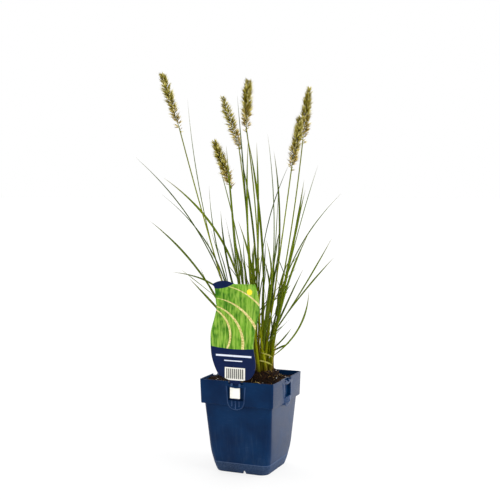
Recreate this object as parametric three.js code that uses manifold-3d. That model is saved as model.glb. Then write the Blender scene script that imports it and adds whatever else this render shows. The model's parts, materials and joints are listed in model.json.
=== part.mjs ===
// Potted hameln fountain grass: a square nursery pot with its growing medium, a plant label in the
// front pocket, and a clump of flowering grass.
// Millimetres, +Z up. The origin is the middle of the pot's base and the label's face looks to -Y.
import * as THREE from 'three';
import { mergeVertices } from 'three/addons/utils/BufferGeometryUtils.js';
import Module from 'manifold-3d';

const wasm = await Module();
wasm.setup();

// Driving dimensions of the pot
const rimWidth = 122;
const potHeight = 146;
const collarHeight = 37.5;
const collarTaper = 1.2;
const collarRadius = 2.5;
const bodyTopWidth = 112;
const bodyTopRadius = 5;
const bendHeight = 42;
const bodySlope = 0.071;
const footWidth = 86;
const footRadius = 13;
const wall = 1.6;
const floorUnderside = 5;
const sideBow = 0.8;
const cornerSteps = 4;
const footRimWidth = 2.2;
const footPadRadius = 9;
const drainHoleRadius = 4;
const drainHoleReach = 24;
const footNotchWidth = 6.5;
const footNotchPlace = 7;

// Label pocket on each collar face
const windowHalfWidth = 12.5;
const pocketFloor = 117;
const pocketBack = 56.4;
const pouchTip = 103.5;
const pouchProud = 0.8;
const ribPlaces = [-6, 0, 6];
const strapHalfWidth = 17;
const strapDip = 4.5;
const strapHeight = 3.6;
const tabPlaces = [-6.6, 6.6];
const shieldLine = 1.5;

// Fits
const gap = 0.35;

// Growing medium
const soilLevel = 138.5;
const moundTop = 156;
const moundFootRadius = 43;
const moundTopRadius = 27;

// Label
const labelThickness = 0.9;
const labelPlane = -58.1;

// The clump stands a little right of the pot's axis in a vertical plane turned to the viewer
const clumpTurn = THREE.MathUtils.degToRad(23);
const crown = new THREE.Vector2(9, 2);
const eyeDistance = 1500;
const eyeHeight = 432;
const footDepth = 15;
const sheathRadius = 2.8;
const sheathSides = 5;
const sheathTop = 0.36;
const culmRadius = 0.95;
const leafWidth = 4.1;
const leafThickness = 1.1;
const leafSteps = 6;
const leafStartTurn = 0.7;

// Flower heads
const spikeletCount = 52;
const spikeletRadius = 1.3;
const headReach = 8.4;

const materials = {
  pot: new THREE.MeshStandardMaterial({ color: 0x14305e, roughness: 0.45, metalness: 0 }),
  soil: new THREE.MeshStandardMaterial({ color: 0x35261b, roughness: 0.95, metalness: 0 }),
  label: new THREE.MeshStandardMaterial({ color: 0x5d8a3a, roughness: 0.35, metalness: 0 }),
  leaf: new THREE.MeshStandardMaterial({ color: 0x5c7a24, roughness: 0.55, metalness: 0 }),
  head: new THREE.MeshStandardMaterial({ color: 0x8b7b45, roughness: 0.85, metalness: 0 }),
};

const up = new THREE.Vector3(0, 0, 1);
const group = new THREE.Group();
const clump = new THREE.Group();
clump.rotation.z = clumpTurn;
group.add(clump);

// A small repeatable stream of numbers from 0 to 1
function seededDraws(seed) {
  let state = seed;
  return () => {
    state = (state * 1664525 + 1013904223) % 4294967296;
    return state / 4294967296;
  };
}

// Solids and booleans
function toSolid(geometry) {
  const bare = geometry.clone();
  bare.deleteAttribute('normal');
  bare.deleteAttribute('uv');
  const merged = mergeVertices(bare, 1e-4);
  const mesh = new wasm.Mesh({
    numProp: 3,
    vertProperties: new Float32Array(merged.attributes.position.array),
    triVerts: new Uint32Array(merged.index.array),
  });
  return new wasm.Manifold(mesh);
}

function joinAll(solids) {
  return solids.reduce((whole, piece) => whole.add(piece));
}

function addNode(parent, name, solid, material) {
  const mesh = solid.getMesh();
  const geometry = new THREE.BufferGeometry();
  geometry.setAttribute('position', new THREE.BufferAttribute(new Float32Array(mesh.vertProperties), 3));
  geometry.setIndex(new THREE.BufferAttribute(new Uint32Array(mesh.triVerts), 1));
  geometry.computeVertexNormals();
  const node = new THREE.Mesh(geometry, material);
  node.name = name;
  parent.add(node);
  return node;
}

// A closed skin through rings of points, each ring counter-clockwise as seen from its far side.
// A last ring of one point closes the skin to a tip.
function loft(rings) {
  const positions = [];
  const faces = [];
  const starts = rings.map((ring) => {
    const start = positions.length / 3;
    ring.forEach((point) => positions.push(point.x, point.y, point.z));
    return start;
  });
  for (let level = 0; level < rings.length - 1; level++) {
    const [low, high] = [starts[level], starts[level + 1]];
    const count = rings[level].length;
    const pointed = rings[level + 1].length === 1;
    for (let i = 0; i < count; i++) {
      const next = (i + 1) % count;
      faces.push(low + i, low + next, pointed ? high : high + next);
      if (!pointed) {
        faces.push(low + i, high + next, high + i);
      }
    }
  }
  const last = rings.length - 1;
  for (let i = 1; i < rings[0].length - 1; i++) {
    faces.push(starts[0], starts[0] + i + 1, starts[0] + i);
  }
  for (let i = 1; i < rings[last].length - 1; i++) {
    faces.push(starts[last], starts[last] + i, starts[last] + i + 1);
  }
  const geometry = new THREE.BufferGeometry();
  geometry.setAttribute('position', new THREE.Float32BufferAttribute(positions, 3));
  geometry.setIndex(faces);
  return geometry;
}

function boxSolid(low, high) {
  const size = new THREE.Vector3().subVectors(high, low);
  const geometry = new THREE.BoxGeometry(size.x, size.y, size.z);
  geometry.translate((low.x + high.x) / 2, (low.y + high.y) / 2, (low.z + high.z) / 2);
  return toSolid(geometry);
}

// An outline drawn in X and Z, from the plane at y = back towards the viewer by depth
function frontPlate(shape, back, depth, curveSegments = 3) {
  const geometry = new THREE.ExtrudeGeometry(shape, { depth, bevelEnabled: false, curveSegments });
  geometry.rotateX(Math.PI / 2);
  geometry.translate(0, back, 0);
  return toSolid(geometry);
}

// Pot
function roundedSquare(half, radius, z, bow = 0) {
  const ring = [];
  const straight = half - radius;
  for (let side = 0; side < 4; side++) {
    const turn = side * Math.PI / 2;
    const place = (x, y) => ring.push(new THREE.Vector3(x, y, z).applyAxisAngle(up, turn));
    place(0, -half - bow);
    for (let step = 0; step <= cornerSteps; step++) {
      const angle = -Math.PI / 2 + step * Math.PI / 2 / cornerSteps;
      place(straight + radius * Math.cos(angle), -straight + radius * Math.sin(angle));
    }
  }
  return ring;
}

const collarBase = potHeight - collarHeight;
const floorTop = floorUnderside + wall;

function bodyHalf(z) {
  const atBend = bodyTopWidth / 2 - bodySlope * (collarBase - bendHeight);
  if (z >= bendHeight) {
    return bodyTopWidth / 2 - bodySlope * (collarBase - z);
  }
  const below = bendHeight - z;
  const curl = atBend - bodySlope * bendHeight - footWidth / 2;
  return atBend - bodySlope * below - curl * (below / bendHeight) ** 2;
}

function bodyRadius(z) {
  return footRadius - (footRadius - bodyTopRadius) * z / collarBase;
}

function collarHalf(z) {
  return rimWidth / 2 - collarTaper * (potHeight - z) / collarHeight;
}

const bodyHeights = [12, 26, 42];
const hollowRadius = 1.5;

// The hollow of the pot, drawn in by an inset: none cuts the hollow, a gap gives the medium's sides
function hollowRings(inset, topHeight) {
  const step = collarBase + wall + inset;
  const rings = [floorTop + inset, ...bodyHeights].map((z) => (
    roundedSquare(bodyHalf(z) - wall - inset, bodyRadius(z) - wall, z)));
  rings.push(roundedSquare(bodyHalf(collarBase) - wall - inset, bodyRadius(collarBase) - wall, step));
  for (const z of [step, topHeight]) {
    rings.push(roundedSquare(collarHalf(z) - wall - inset, hollowRadius, z, sideBow));
  }
  return rings;
}

function outerPot() {
  const rings = [0, 3, ...bodyHeights, collarBase].map((z) => (
    roundedSquare(bodyHalf(z), bodyRadius(z), z)));
  for (const z of [collarBase, potHeight]) {
    rings.push(roundedSquare(collarHalf(z), collarRadius, z, sideBow));
  }
  return toSolid(loft(rings));
}

function undersideRecess() {
  const rings = [-1, floorUnderside].map((z) => (
    roundedSquare(bodyHalf(Math.max(z, 0)) - footRimWidth, footRadius - footRimWidth, z)));
  const pad = new THREE.CylinderGeometry(footPadRadius, footPadRadius, 20, 20);
  pad.rotateX(Math.PI / 2);
  return toSolid(loft(rings)).subtract(toSolid(pad));
}

// Where the strap meets the rim, and where the pouch and its raised line grow out of the body
const strapEnd = potHeight - 2;
const pouchRoot = 0.8 - bodyHalf(collarBase);

// The pocket's parts face -Y and are turned to the other three faces. The backing is the wall behind
// the window. Made wider by a clearance, it clears the medium away from behind the pocket.
function pocketBacking(outerFace, clearance) {
  const half = windowHalfWidth + 3 + clearance;
  const low = new THREE.Vector3(-half, -outerFace, pocketFloor - 4 - clearance);
  const high = new THREE.Vector3(half, -pocketBack + wall + clearance, strapEnd + clearance);
  return boxSolid(low, high);
}

function pocketWindow() {
  const low = new THREE.Vector3(-windowHalfWidth, -rimWidth / 2 - 4, pocketFloor);
  const high = new THREE.Vector3(windowHalfWidth, -pocketBack, potHeight + 5);
  return boxSolid(low, high);
}

function pocketStrap() {
  const lowEnd = strapEnd - strapHeight;
  const shape = new THREE.Shape();
  shape.moveTo(-strapHalfWidth, strapEnd);
  shape.quadraticCurveTo(0, strapEnd - 2 * strapDip, strapHalfWidth, strapEnd);
  shape.lineTo(strapHalfWidth, lowEnd);
  shape.quadraticCurveTo(0, lowEnd - 2 * strapDip, -strapHalfWidth, lowEnd);
  shape.closePath();
  const strap = frontPlate(shape, -rimWidth / 2 + 1.2, 2);
  const tabs = tabPlaces.map((x) => boxSolid(
    new THREE.Vector3(x - 1.5, -rimWidth / 2 - 1.3, potHeight - 7.5),
    new THREE.Vector3(x + 1.5, -rimWidth / 2 + 0.9, potHeight - 3.2)));
  return joinAll([strap, ...tabs]);
}

// A raised line that runs from the rim down beside the window and round the pouch
function pocketOutline() {
  const draw = (path, inset) => {
    const half = strapHalfWidth - inset;
    const waist = windowHalfWidth + 2.2 - inset;
    const top = strapEnd - inset * 0.5;
    const tip = pouchTip + inset;
    path.moveTo(-half, top);
    path.lineTo(-waist, pocketFloor + 2);
    path.quadraticCurveTo(-waist, tip, 0, tip - 1.2);
    path.quadraticCurveTo(waist, tip, waist, pocketFloor + 2);
    path.lineTo(half, top);
    path.closePath();
    return path;
  };
  const shape = draw(new THREE.Shape(), 0);
  shape.holes.push(draw(new THREE.Path(), shieldLine));
  return frontPlate(shape, pouchRoot, rimWidth / 2 + 0.5 + pouchRoot);
}

function pocketPouch() {
  const half = windowHalfWidth + 0.4;
  const shape = new THREE.Shape();
  shape.moveTo(-half, pocketFloor);
  shape.quadraticCurveTo(-half, pouchTip, 0, pouchTip);
  shape.quadraticCurveTo(half, pouchTip, half, pocketFloor);
  shape.closePath();
  const face = rimWidth / 2 + pouchProud;
  const pouch = frontPlate(shape, pouchRoot, face + pouchRoot);
  const ribs = ribPlaces.map((x) => boxSolid(
    new THREE.Vector3(x - 0.8, -face - 0.7, pouchTip + 1.2 + Math.abs(x) * 0.55),
    new THREE.Vector3(x + 0.8, -face + 1, pocketFloor - 0.6)));
  return joinAll([pouch, ...ribs]);
}

function onEveryFace(solid) {
  return [0, 90, 180, 270].map((turn) => solid.rotate([0, 0, turn]));
}

// A gable-shaped gap in the foot rim, off the middle of each side, that lets water out
function makeFootNotch() {
  const half = footNotchWidth / 2;
  const shape = new THREE.Shape();
  shape.moveTo(footNotchPlace - half, -1);
  shape.lineTo(footNotchPlace + half, -1);
  shape.lineTo(footNotchPlace + half * 0.3, floorUnderside);
  shape.lineTo(footNotchPlace - half * 0.3, floorUnderside);
  shape.closePath();
  return frontPlate(shape, 6 - footWidth / 2, footWidth / 2);
}

function makePot() {
  const hollow = toSolid(loft(hollowRings(0, potHeight + 3)));
  const drain = new THREE.CylinderGeometry(drainHoleRadius, drainHoleRadius, 12, 12);
  drain.rotateX(Math.PI / 2);
  drain.translate(drainHoleReach, drainHoleReach, floorUnderside);
  const cuts = [undersideRecess(), ...onEveryFace(toSolid(drain)), ...onEveryFace(makeFootNotch())];
  const shieldAndPouch = pocketPouch().add(pocketOutline());
  let pot = joinAll([outerPot(), ...onEveryFace(shieldAndPouch)]).subtract(hollow);
  cuts.forEach((cut) => { pot = pot.subtract(cut); });
  const backing = pocketBacking(collarHalf(pocketFloor) - 0.6, 0);
  onEveryFace(backing).forEach((wallPiece) => { pot = pot.add(wallPiece); });
  onEveryFace(pocketWindow()).forEach((window) => { pot = pot.subtract(window); });
  onEveryFace(pocketStrap()).forEach((strap) => { pot = pot.add(strap); });
  return pot;
}

// Where each stem stands in the crown: four rings, each stem at its own turn, 0 to the viewer's
// right and 90 away from the viewer
const crownRings = { outer: [23, 21], between: [18, 16.5], middle: [13, 12], inner: [4.5, 4.5] };

function stemFoot(stem) {
  const [reachX, reachAway] = crownRings[stem.ring];
  const turn = THREE.MathUtils.degToRad(stem.turn);
  return new THREE.Vector2(crown.x + reachX * Math.cos(turn), crown.y + reachAway * Math.sin(turn));
}

// Every leaf is [x, z where it is passing, x, z of its tip, how far its tip stands away].
// A culm is given the same way up to its head, then the head's tip. Each stem also has a young leaf,
// which a rule places. A stem with nothing listed is a new shoot, and its young leaf is all it has.
const stems = [
  { ring: 'middle', turn: 168, culm: [-60, 343, -112, 533, 15], headTip: [-140, 620],
    leaves: [[-72, 392, -99, 578, 30]] },
  { ring: 'middle', turn: 117, culm: [-3, 343, -20, 507, 55], headTip: [-47, 585],
    leaves: [[-8, 398, -22, 583, 11]] },
  { ring: 'middle', turn: 271, culm: [10, 348, -8, 533, -60], headTip: [-5, 609], leaves: [] },
  { ring: 'middle', turn: 220, culm: [-22, 304, -33, 445, -45], headTip: [-59, 515], leaves: [] },
  { ring: 'middle', turn: 14, culm: [56, 336, 80, 515, 45], headTip: [90, 598],
    leaves: [[52, 205, 63, 220, 10]] },
  { ring: 'middle', turn: 322, culm: [45, 340, 63, 474, -40], headTip: [77, 553],
    leaves: [[41, 216, 52, 225, -12], [49, 191, 60, 196, -4]] },
  { ring: 'outer', turn: 166, leaves: [[-83, 370, -180, 487, 47], [-58, 270, -80, 315, 20]] },
  { ring: 'outer', turn: 138, leaves: [[-52, 367, -136, 455, 85], [-38, 325, -48, 406, 60]] },
  { ring: 'outer', turn: 194, leaves: [[-82, 309, -158, 388, -42], [-72, 356, -139, 429, -20]] },
  { ring: 'outer', turn: 222, leaves: [[-57, 286, -124, 308, -30], [-58, 256, -97, 298, -25]] },
  { ring: 'outer', turn: 0, leaves: [[71, 337, 140, 431, -10], [82, 276, 129, 331, -45]] },
  { ring: 'outer', turn: 28, leaves: [[66, 343, 104, 476, 40], [84, 287, 126, 362, 25]] },
  { ring: 'outer', turn: 55, leaves: [[63, 340, 82, 452, 70], [57, 261, 82, 315, 60]] },
  { ring: 'outer', turn: 332, leaves: [[59, 325, 84, 437, -70], [65, 312, 90, 370, -60],
    [73, 217, 90, 278, -20]] },
  { ring: 'outer', turn: 305, leaves: [[18, 343, 59, 477, -100], [32, 289, 23, 359, -60]] },
  { ring: 'outer', turn: 83, leaves: [[44, 354, 35, 496, 80], [36, 325, 42, 437, 110]] },
  { ring: 'outer', turn: 111, leaves: [[10, 359, 8, 510, 125], [-20, 354, -57, 499, 100]] },
  { ring: 'outer', turn: 249, leaves: [[-26, 359, -39, 505, -90], [-55, 351, -66, 443, -75]] },
  { ring: 'outer', turn: 277, leaves: [[-5, 365, -5, 518, -110], [-8, 289, -13, 365, -50]] },
  { ring: 'middle', turn: 65, leaves: [[14, 387, -5, 515, 40], [29, 273, 18, 331, 50]] },
  { ring: 'inner', turn: 40, leaves: [[35, 362, 25, 524, 25]] },
  { ring: 'inner', turn: 160, leaves: [[4, 359, -18, 496, 20]] },
  { ring: 'inner', turn: 280, leaves: [[1, 312, -21, 389, -36]], youngShift: 12 },
  { ring: 'between', turn: 41, leaves: [] },
  { ring: 'between', turn: 97, leaves: [] },
  { ring: 'between', turn: 152, leaves: [] },
  { ring: 'between', turn: 188, leaves: [] },
  { ring: 'between', turn: 235, leaves: [] },
  { ring: 'between', turn: 258, leaves: [] },
  { ring: 'between', turn: 291, leaves: [] },
  { ring: 'between', turn: 346, leaves: [] },
];

// Growing medium: fills the hollow, crumbly on top, heaped into a mound where the crown stands
function makeSoil() {
  const draw = seededDraws(11);
  const centre = new THREE.Vector3(crown.x, crown.y, 0).applyAxisAngle(up, clumpTurn);
  const rings = hollowRings(gap, soilLevel);
  const edge = rings[rings.length - 1];
  const onCircle = (radius, index) => {
    const angle = Math.atan2(edge[index].y, edge[index].x);
    return centre.clone().add(new THREE.Vector3(radius, 0, 0).applyAxisAngle(up, angle));
  };
  const surface = [[0.15, soilLevel + 0.6], [0.4, soilLevel], [0.7, soilLevel + 0.8], [1, soilLevel + 2]];
  for (const [share, height] of surface) {
    rings.push(edge.map((point, index) => {
      const moved = point.clone().lerp(onCircle(moundFootRadius, index), share);
      moved.z = height + 1.8 * (draw() - 0.5);
      return moved;
    }));
  }
  const shoulders = [[37, 0.45], [32, 0.85], [moundTopRadius, 1]];
  for (const [radius, rise] of shoulders) {
    rings.push(edge.map((point, index) => {
      const moved = onCircle(radius * (0.96 + 0.08 * draw()), index);
      moved.z = soilLevel + 2 + (moundTop - soilLevel - 2) * rise - 1.4 * draw();
      return moved;
    }));
  }
  rings.push([new THREE.Vector3(centre.x, centre.y, moundTop + 0.5)]);
  let soil = toSolid(loft(rings));
  onEveryFace(pocketBacking(rimWidth / 2 + 1, gap)).forEach((backing) => { soil = soil.subtract(backing); });
  const holeLength = 40;
  const holeRadius = sheathRadius + 2 * gap;
  const hole = new THREE.CylinderGeometry(holeRadius, holeRadius, holeLength, sheathSides);
  hole.rotateX(Math.PI / 2);
  hole.translate(0, 0, moundTop - footDepth - gap + holeLength / 2);
  for (const stem of stems) {
    const foot = stemFoot(stem);
    const place = new THREE.Vector3(foot.x, foot.y, 0).applyAxisAngle(up, clumpTurn);
    const turned = hole.clone();
    turned.rotateZ(clumpTurn);
    turned.translate(place.x, place.y, 0);
    soil = soil.subtract(toSolid(turned));
  }
  return soil;
}

// Label: a thin printed plate with a waved outline and a tongue that stands in the front pocket
function labelShape() {
  const shape = new THREE.Shape();
  shape.moveTo(-40, 293);
  shape.splineThru([[-36, 286], [-34, 266], [-33, 257], [-37, 240], [-42.5, 220], [-43, 200],
    [-41, 181], [-35, 164], [-28, 154], [-11, 147]].map(([x, z]) => new THREE.Vector2(x, z)));
  shape.lineTo(-10.7, 117 + gap + 0.2);
  shape.lineTo(5.8, 117 + gap);
  shape.lineTo(6, 147);
  shape.splineThru([[20, 150], [28, 158], [31.5, 169], [30.5, 183], [28, 198], [29, 213],
    [32, 230], [36.5, 248], [38, 259], [36.5, 274], [31, 295]].map(([x, z]) => new THREE.Vector2(x, z)));
  shape.lineTo(-2, 294.5);
  shape.quadraticCurveTo(-24, 304, -40, 293);
  return shape;
}

function makeLabel() {
  return frontPlate(labelShape(), labelPlane, labelThickness, 2);
}

// Curves of the grass
// What is measured square on stands further out, the further away from the eye it is
function seenAt(x, z, away) {
  const spread = (eyeDistance + away) / eyeDistance;
  return new THREE.Vector3(x * spread, away, eyeHeight + (z - eyeHeight) * spread);
}

// A smooth arch from a start, passing one point on its way to its end
function arch(start, past, end) {
  const near = start.distanceTo(past);
  const t = near / (near + past.distanceTo(end));
  const knee = past.clone()
    .addScaledVector(start, -((1 - t) ** 2))
    .addScaledVector(end, -(t ** 2))
    .divideScalar(2 * t * (1 - t));
  return new THREE.QuadraticBezierCurve3(start, knee, end);
}

// The arch of a leaf or culm: it leans away more and more towards its tip
function limbArch(start, [pastX, pastZ, tipX, tipZ, tipAway]) {
  const share = Math.min(0.95, Math.max(0.1, (pastZ - start.z) / (tipZ - start.z)));
  const pastAway = start.y + (tipAway - start.y) * share ** 1.5;
  return arch(start, seenAt(pastX, pastZ, pastAway), seenAt(tipX, tipZ, tipAway));
}

// Sections along a curve
function frameAlong(points, index, side) {
  const before = points[Math.max(0, index - 1)];
  const after = points[Math.min(points.length - 1, index + 1)];
  const tangent = new THREE.Vector3().subVectors(after, before).normalize();
  const across = side.clone().addScaledVector(tangent, -side.dot(tangent)).normalize();
  const normal = new THREE.Vector3().crossVectors(tangent, across);
  return { tangent, across, normal };
}

function roundRing(centre, frame, radius, sides) {
  const ring = [];
  for (let i = 0; i < sides; i++) {
    const angle = i * 2 * Math.PI / sides;
    ring.push(centre.clone()
      .addScaledVector(frame.across, radius * Math.cos(angle))
      .addScaledVector(frame.normal, radius * Math.sin(angle)));
  }
  return ring;
}

// A channelled leaf: two edges and a keel, narrowing to a point. It starts at a turn from level and
// twists on the way.
function leafSolid(points, width, startTurn, twist) {
  const lean = points[points.length - 1].clone().sub(points[0]).setZ(0).normalize();
  const side = new THREE.Vector3().crossVectors(up, lean);
  const last = points.length - 1;
  const rings = points.map((point, index) => {
    if (index === last) {
      return [point];
    }
    const share = index / last;
    const frame = frameAlong(points, index, side);
    const angle = startTurn + twist * share;
    const across = frame.across.clone().applyAxisAngle(frame.tangent, angle);
    const normal = frame.normal.clone().applyAxisAngle(frame.tangent, angle);
    const spread = leafSpread(share) * width / 2;
    const thick = leafThickness * (0.6 + 0.4 * leafSpread(share));
    return [
      point.clone().addScaledVector(across, spread).addScaledVector(normal, thick * 0.4),
      point.clone().addScaledVector(across, -spread).addScaledVector(normal, thick * 0.4),
      point.clone().addScaledVector(normal, -thick * 0.6),
    ];
  });
  return toSolid(loft(rings));
}

function leafSpread(share) {
  const opening = Math.min(1, 0.5 + 2.5 * share);
  const taper = Math.min(1, 3.2 * (1 - share)) ** 0.8;
  return Math.max(0.35, opening * taper);
}

// A leaf sheath: stands straight in its hole, then follows the curve of the stem's first limb
function sheathSolid(foot, curvePoints) {
  const path = [new THREE.Vector3(foot.x, foot.y, moundTop - footDepth), ...curvePoints];
  const last = path.length - 1;
  const rings = path.map((point, index) => {
    const tall = index / last;
    const radius = sheathRadius * (index < 2 ? 1 : 1.08 - 0.55 * tall);
    const frame = index < 2
      ? { across: new THREE.Vector3(1, 0, 0), normal: new THREE.Vector3(0, 1, 0) }
      : frameAlong(path, index, new THREE.Vector3(1, 0, 0));
    return roundRing(point, frame, radius, sheathSides);
  });
  return toSolid(loft(rings));
}

// A culm is a thin round stalk of even thickness
function culmSolid(curve, from, steps) {
  const points = [];
  for (let i = 0; i <= steps; i++) {
    points.push(curve.getPoint(from + (1 - from) * i / steps));
  }
  const section = new THREE.Shape();
  section.absellipse(0, 0, culmRadius, culmRadius, 0, 2 * Math.PI, false, 0);
  const path = new THREE.CatmullRomCurve3(points);
  const geometry = new THREE.ExtrudeGeometry(section, {
    steps, curveSegments: 5, bevelEnabled: false, extrudePath: path,
  });
  return toSolid(geometry);
}

// Flower head: a slim core along the rachis with a spiral of pointed spikelets that stand out of it
const goldenTurn = Math.PI * (3 - Math.sqrt(5));

function headSolid(curve, seed) {
  const draw = seededDraws(seed);
  const steps = 5;
  const coreRadius = (share) => 0.9 + 2.2 * Math.sin(Math.PI * Math.min(1, 0.08 + 0.9 * share)) ** 0.7;
  const points = [];
  for (let i = 0; i <= steps; i++) {
    points.push(curve.getPoint(i / steps));
  }
  const side = new THREE.Vector3(1, 0, 0);
  const core = toSolid(loft(points.map((point, index) => (
    roundRing(point, frameAlong(points, index, side), coreRadius(index / steps), 4)))));
  const solids = [core];
  for (let i = 0; i < spikeletCount; i++) {
    const share = 0.03 + 0.88 * (i / (spikeletCount - 1)) ** 0.92;
    const centre = curve.getPoint(share);
    const tangent = curve.getTangent(share);
    const across = side.clone().addScaledVector(tangent, -side.dot(tangent)).normalize();
    const outward = across.applyAxisAngle(tangent, i * goldenTurn + 0.5 * draw());
    const reach = headReach * Math.sin(Math.PI * (0.14 + 0.76 * share)) ** 0.55;
    const open = THREE.MathUtils.degToRad(44 - 20 * share + 8 * (draw() - 0.5));
    const direction = tangent.clone()
      .multiplyScalar(Math.cos(open))
      .addScaledVector(outward, Math.sin(open));
    const rootDepth = coreRadius(share) * 0.55;
    const length = (reach - rootDepth) / Math.sin(open);
    const cone = new THREE.ConeGeometry(spikeletRadius, length, 3, 1);
    cone.rotateY(2 * Math.PI * draw());
    cone.translate(0, length / 2, 0);
    cone.applyQuaternion(new THREE.Quaternion().setFromUnitVectors(new THREE.Vector3(0, 1, 0), direction));
    const root = centre.clone().addScaledVector(outward, rootDepth);
    cone.translate(root.x, root.y, root.z);
    solids.push(toSolid(cone));
  }
  return joinAll(solids);
}

const standHeight = moundTop + 2.5;

function footPoint(stem) {
  const foot = stemFoot(stem);
  return new THREE.Vector3(foot.x, foot.y, standHeight);
}

function curvePoints(curve, from, to, steps) {
  const points = [];
  for (let i = 0; i <= steps; i++) {
    points.push(curve.getPoint(from + (to - from) * i / steps));
  }
  return points;
}

// A head carries on where its culm ends, and stands a little further out from the clump's own plane
function headArch(stem, culm) {
  const end = culm.getPoint(1);
  const tangent = culm.getTangent(1);
  const tip = seenAt(...stem.headTip, stem.culm[4] + 12 * Math.sign(stem.culm[4]));
  const start = end.clone().addScaledVector(tangent, gap);
  const middle = start.clone().lerp(tip, 0.5).addScaledVector(tangent, 1.2);
  return arch(start, middle, tip);
}

// A short young leaf inside each stem, leaning the way that the stem leans
function youngLeaf(stem, start, draw) {
  const turn = THREE.MathUtils.degToRad(stem.turn);
  const reach = 12 + 26 * draw();
  const height = 250 + 110 * draw();
  const x = start.x + reach * Math.cos(turn);
  const middle = start.x + 0.3 * (x - start.x);
  const away = start.y + reach * Math.sin(turn) + (stem.youngShift ?? 0);
  return [middle, start.z + (height - start.z) * 0.55, x, height, away];
}

// The curves of one stem: its main limb, then its side leaves and its young leaf
function stemCurves(stem, draw) {
  const foot = footPoint(stem);
  if (!stem.culm && stem.leaves.length === 0) {
    return [limbArch(foot, youngLeaf(stem, foot, draw))];
  }
  const main = limbArch(foot, stem.culm ?? stem.leaves[0]);
  const side = stem.culm ? stem.leaves : stem.leaves.slice(1);
  const branchAt = (place) => main.getPoint(0.06 + 0.22 * place);
  const limbs = side.map((leaf, place) => {
    const low = leaf[1] < 230;
    return limbArch(branchAt(low ? 0 : 0.5 + 0.3 * place), leaf);
  });
  const youngStart = branchAt(0.9);
  return [main, ...limbs, limbArch(youngStart, youngLeaf(stem, youngStart, draw))];
}

function makeGrass() {
  stems.forEach((stem, index) => {
    const draw = seededDraws(100 + index);
    const startTurn = index % 2 ? -leafStartTurn : leafStartTurn;
    const [main, ...limbs] = stemCurves(stem, draw);
    const solids = [sheathSolid(stemFoot(stem), curvePoints(main, 0, sheathTop, 3))];
    if (stem.culm) {
      solids.push(culmSolid(main, sheathTop - 0.08, 7));
      addNode(clump, `head_${index + 1}`, headSolid(headArch(stem, main), 40 + index), materials.head);
    } else {
      const points = curvePoints(main, sheathTop - 0.06, 1, leafSteps - 1);
      solids.push(leafSolid(points, leafWidth, startTurn, 1.6 * (draw() - 0.5)));
    }
    for (const limb of limbs) {
      const width = leafWidth * (0.8 + 0.25 * draw());
      solids.push(leafSolid(curvePoints(limb, 0, 1, leafSteps), width, startTurn, 2.2 * (draw() - 0.5)));
    }
    addNode(clump, `stem_${index + 1}`, joinAll(solids), materials.leaf);
  });
}

addNode(group, 'pot', makePot(), materials.pot);
addNode(group, 'soil', makeSoil(), materials.soil);
addNode(group, 'label', makeLabel(), materials.label);
makeGrass();

export default group;
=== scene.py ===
# %% [markdown]
# # A potted fountain grass
# The object is a young clump of fountain grass in the square blue pot that a nursery sells it in. It
# could be painted onto the plain solids of the model, but a grass is read by its fine things: channelled
# leaves, bristles, crumbs of soil. So the model's solids stay as the fixed frame, and each is dressed with
# a finer piece that stands in the same place. First the frame is loaded, and its box is kept.

# %% Load the fixed frame
import json
import math
import random

import bmesh
import bpy
from mathutils import Matrix, Vector, noise

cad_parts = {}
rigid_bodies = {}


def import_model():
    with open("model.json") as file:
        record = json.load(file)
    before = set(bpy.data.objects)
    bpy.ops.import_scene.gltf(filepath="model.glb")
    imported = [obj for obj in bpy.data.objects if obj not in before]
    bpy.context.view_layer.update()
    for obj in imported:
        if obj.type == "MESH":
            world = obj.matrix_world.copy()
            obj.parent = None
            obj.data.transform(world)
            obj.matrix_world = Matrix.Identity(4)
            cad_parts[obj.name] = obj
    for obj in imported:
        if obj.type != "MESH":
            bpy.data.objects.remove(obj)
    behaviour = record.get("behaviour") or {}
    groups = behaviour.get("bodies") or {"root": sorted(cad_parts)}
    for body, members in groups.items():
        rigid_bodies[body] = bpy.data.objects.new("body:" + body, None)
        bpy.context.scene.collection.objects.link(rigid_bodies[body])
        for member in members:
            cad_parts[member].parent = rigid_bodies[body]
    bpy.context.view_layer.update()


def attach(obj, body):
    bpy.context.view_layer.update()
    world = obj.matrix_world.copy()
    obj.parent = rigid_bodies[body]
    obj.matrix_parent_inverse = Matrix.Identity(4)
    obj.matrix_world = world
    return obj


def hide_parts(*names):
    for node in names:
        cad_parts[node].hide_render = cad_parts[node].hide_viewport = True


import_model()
MM = 0.001
UP = Vector((0, 0, 1))

# %% [markdown]
# ## Where the viewer stands
# The pot is seen from a metre and a half away, from a little to the right of the label's face and from
# the height of the upper leaves, looking slightly down. The view could be framed by eye, but leaves that
# are planned by their place in the picture need a camera that is known exactly. So the focal length is
# worked out from the picture's own measure in pixels, which holds at any render size.

# %% Camera
PHOTO_SIDE = 500
FOCAL_PIXELS = 961
AXIS_PIXEL = 251.4
SENSOR_MM = 36
EYE_TURN = math.radians(23)
EYE_DISTANCE = 1500
EYE_HEIGHT = 432
EYE_PITCH = math.radians(3.4)


def placed(name, data):
    """A new object in the scene."""
    made = bpy.data.objects.new(name, data)
    bpy.context.scene.collection.objects.link(made)
    return made


camera_data = bpy.data.cameras.new("camera")
camera_data.sensor_width = SENSOR_MM
camera_data.lens = FOCAL_PIXELS / PHOTO_SIDE * SENSOR_MM
camera_data.shift_x = (PHOTO_SIDE / 2 - AXIS_PIXEL) / PHOTO_SIDE
camera = placed("camera", camera_data)
camera.location = Vector((math.sin(EYE_TURN), -math.cos(EYE_TURN), 0)) * EYE_DISTANCE * MM
camera.location.z = EYE_HEIGHT * MM
camera.rotation_euler = (math.pi / 2 - EYE_PITCH, 0, EYE_TURN)
bpy.context.scene.camera = camera
print("lens", round(camera_data.lens, 1), "mm")

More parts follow.
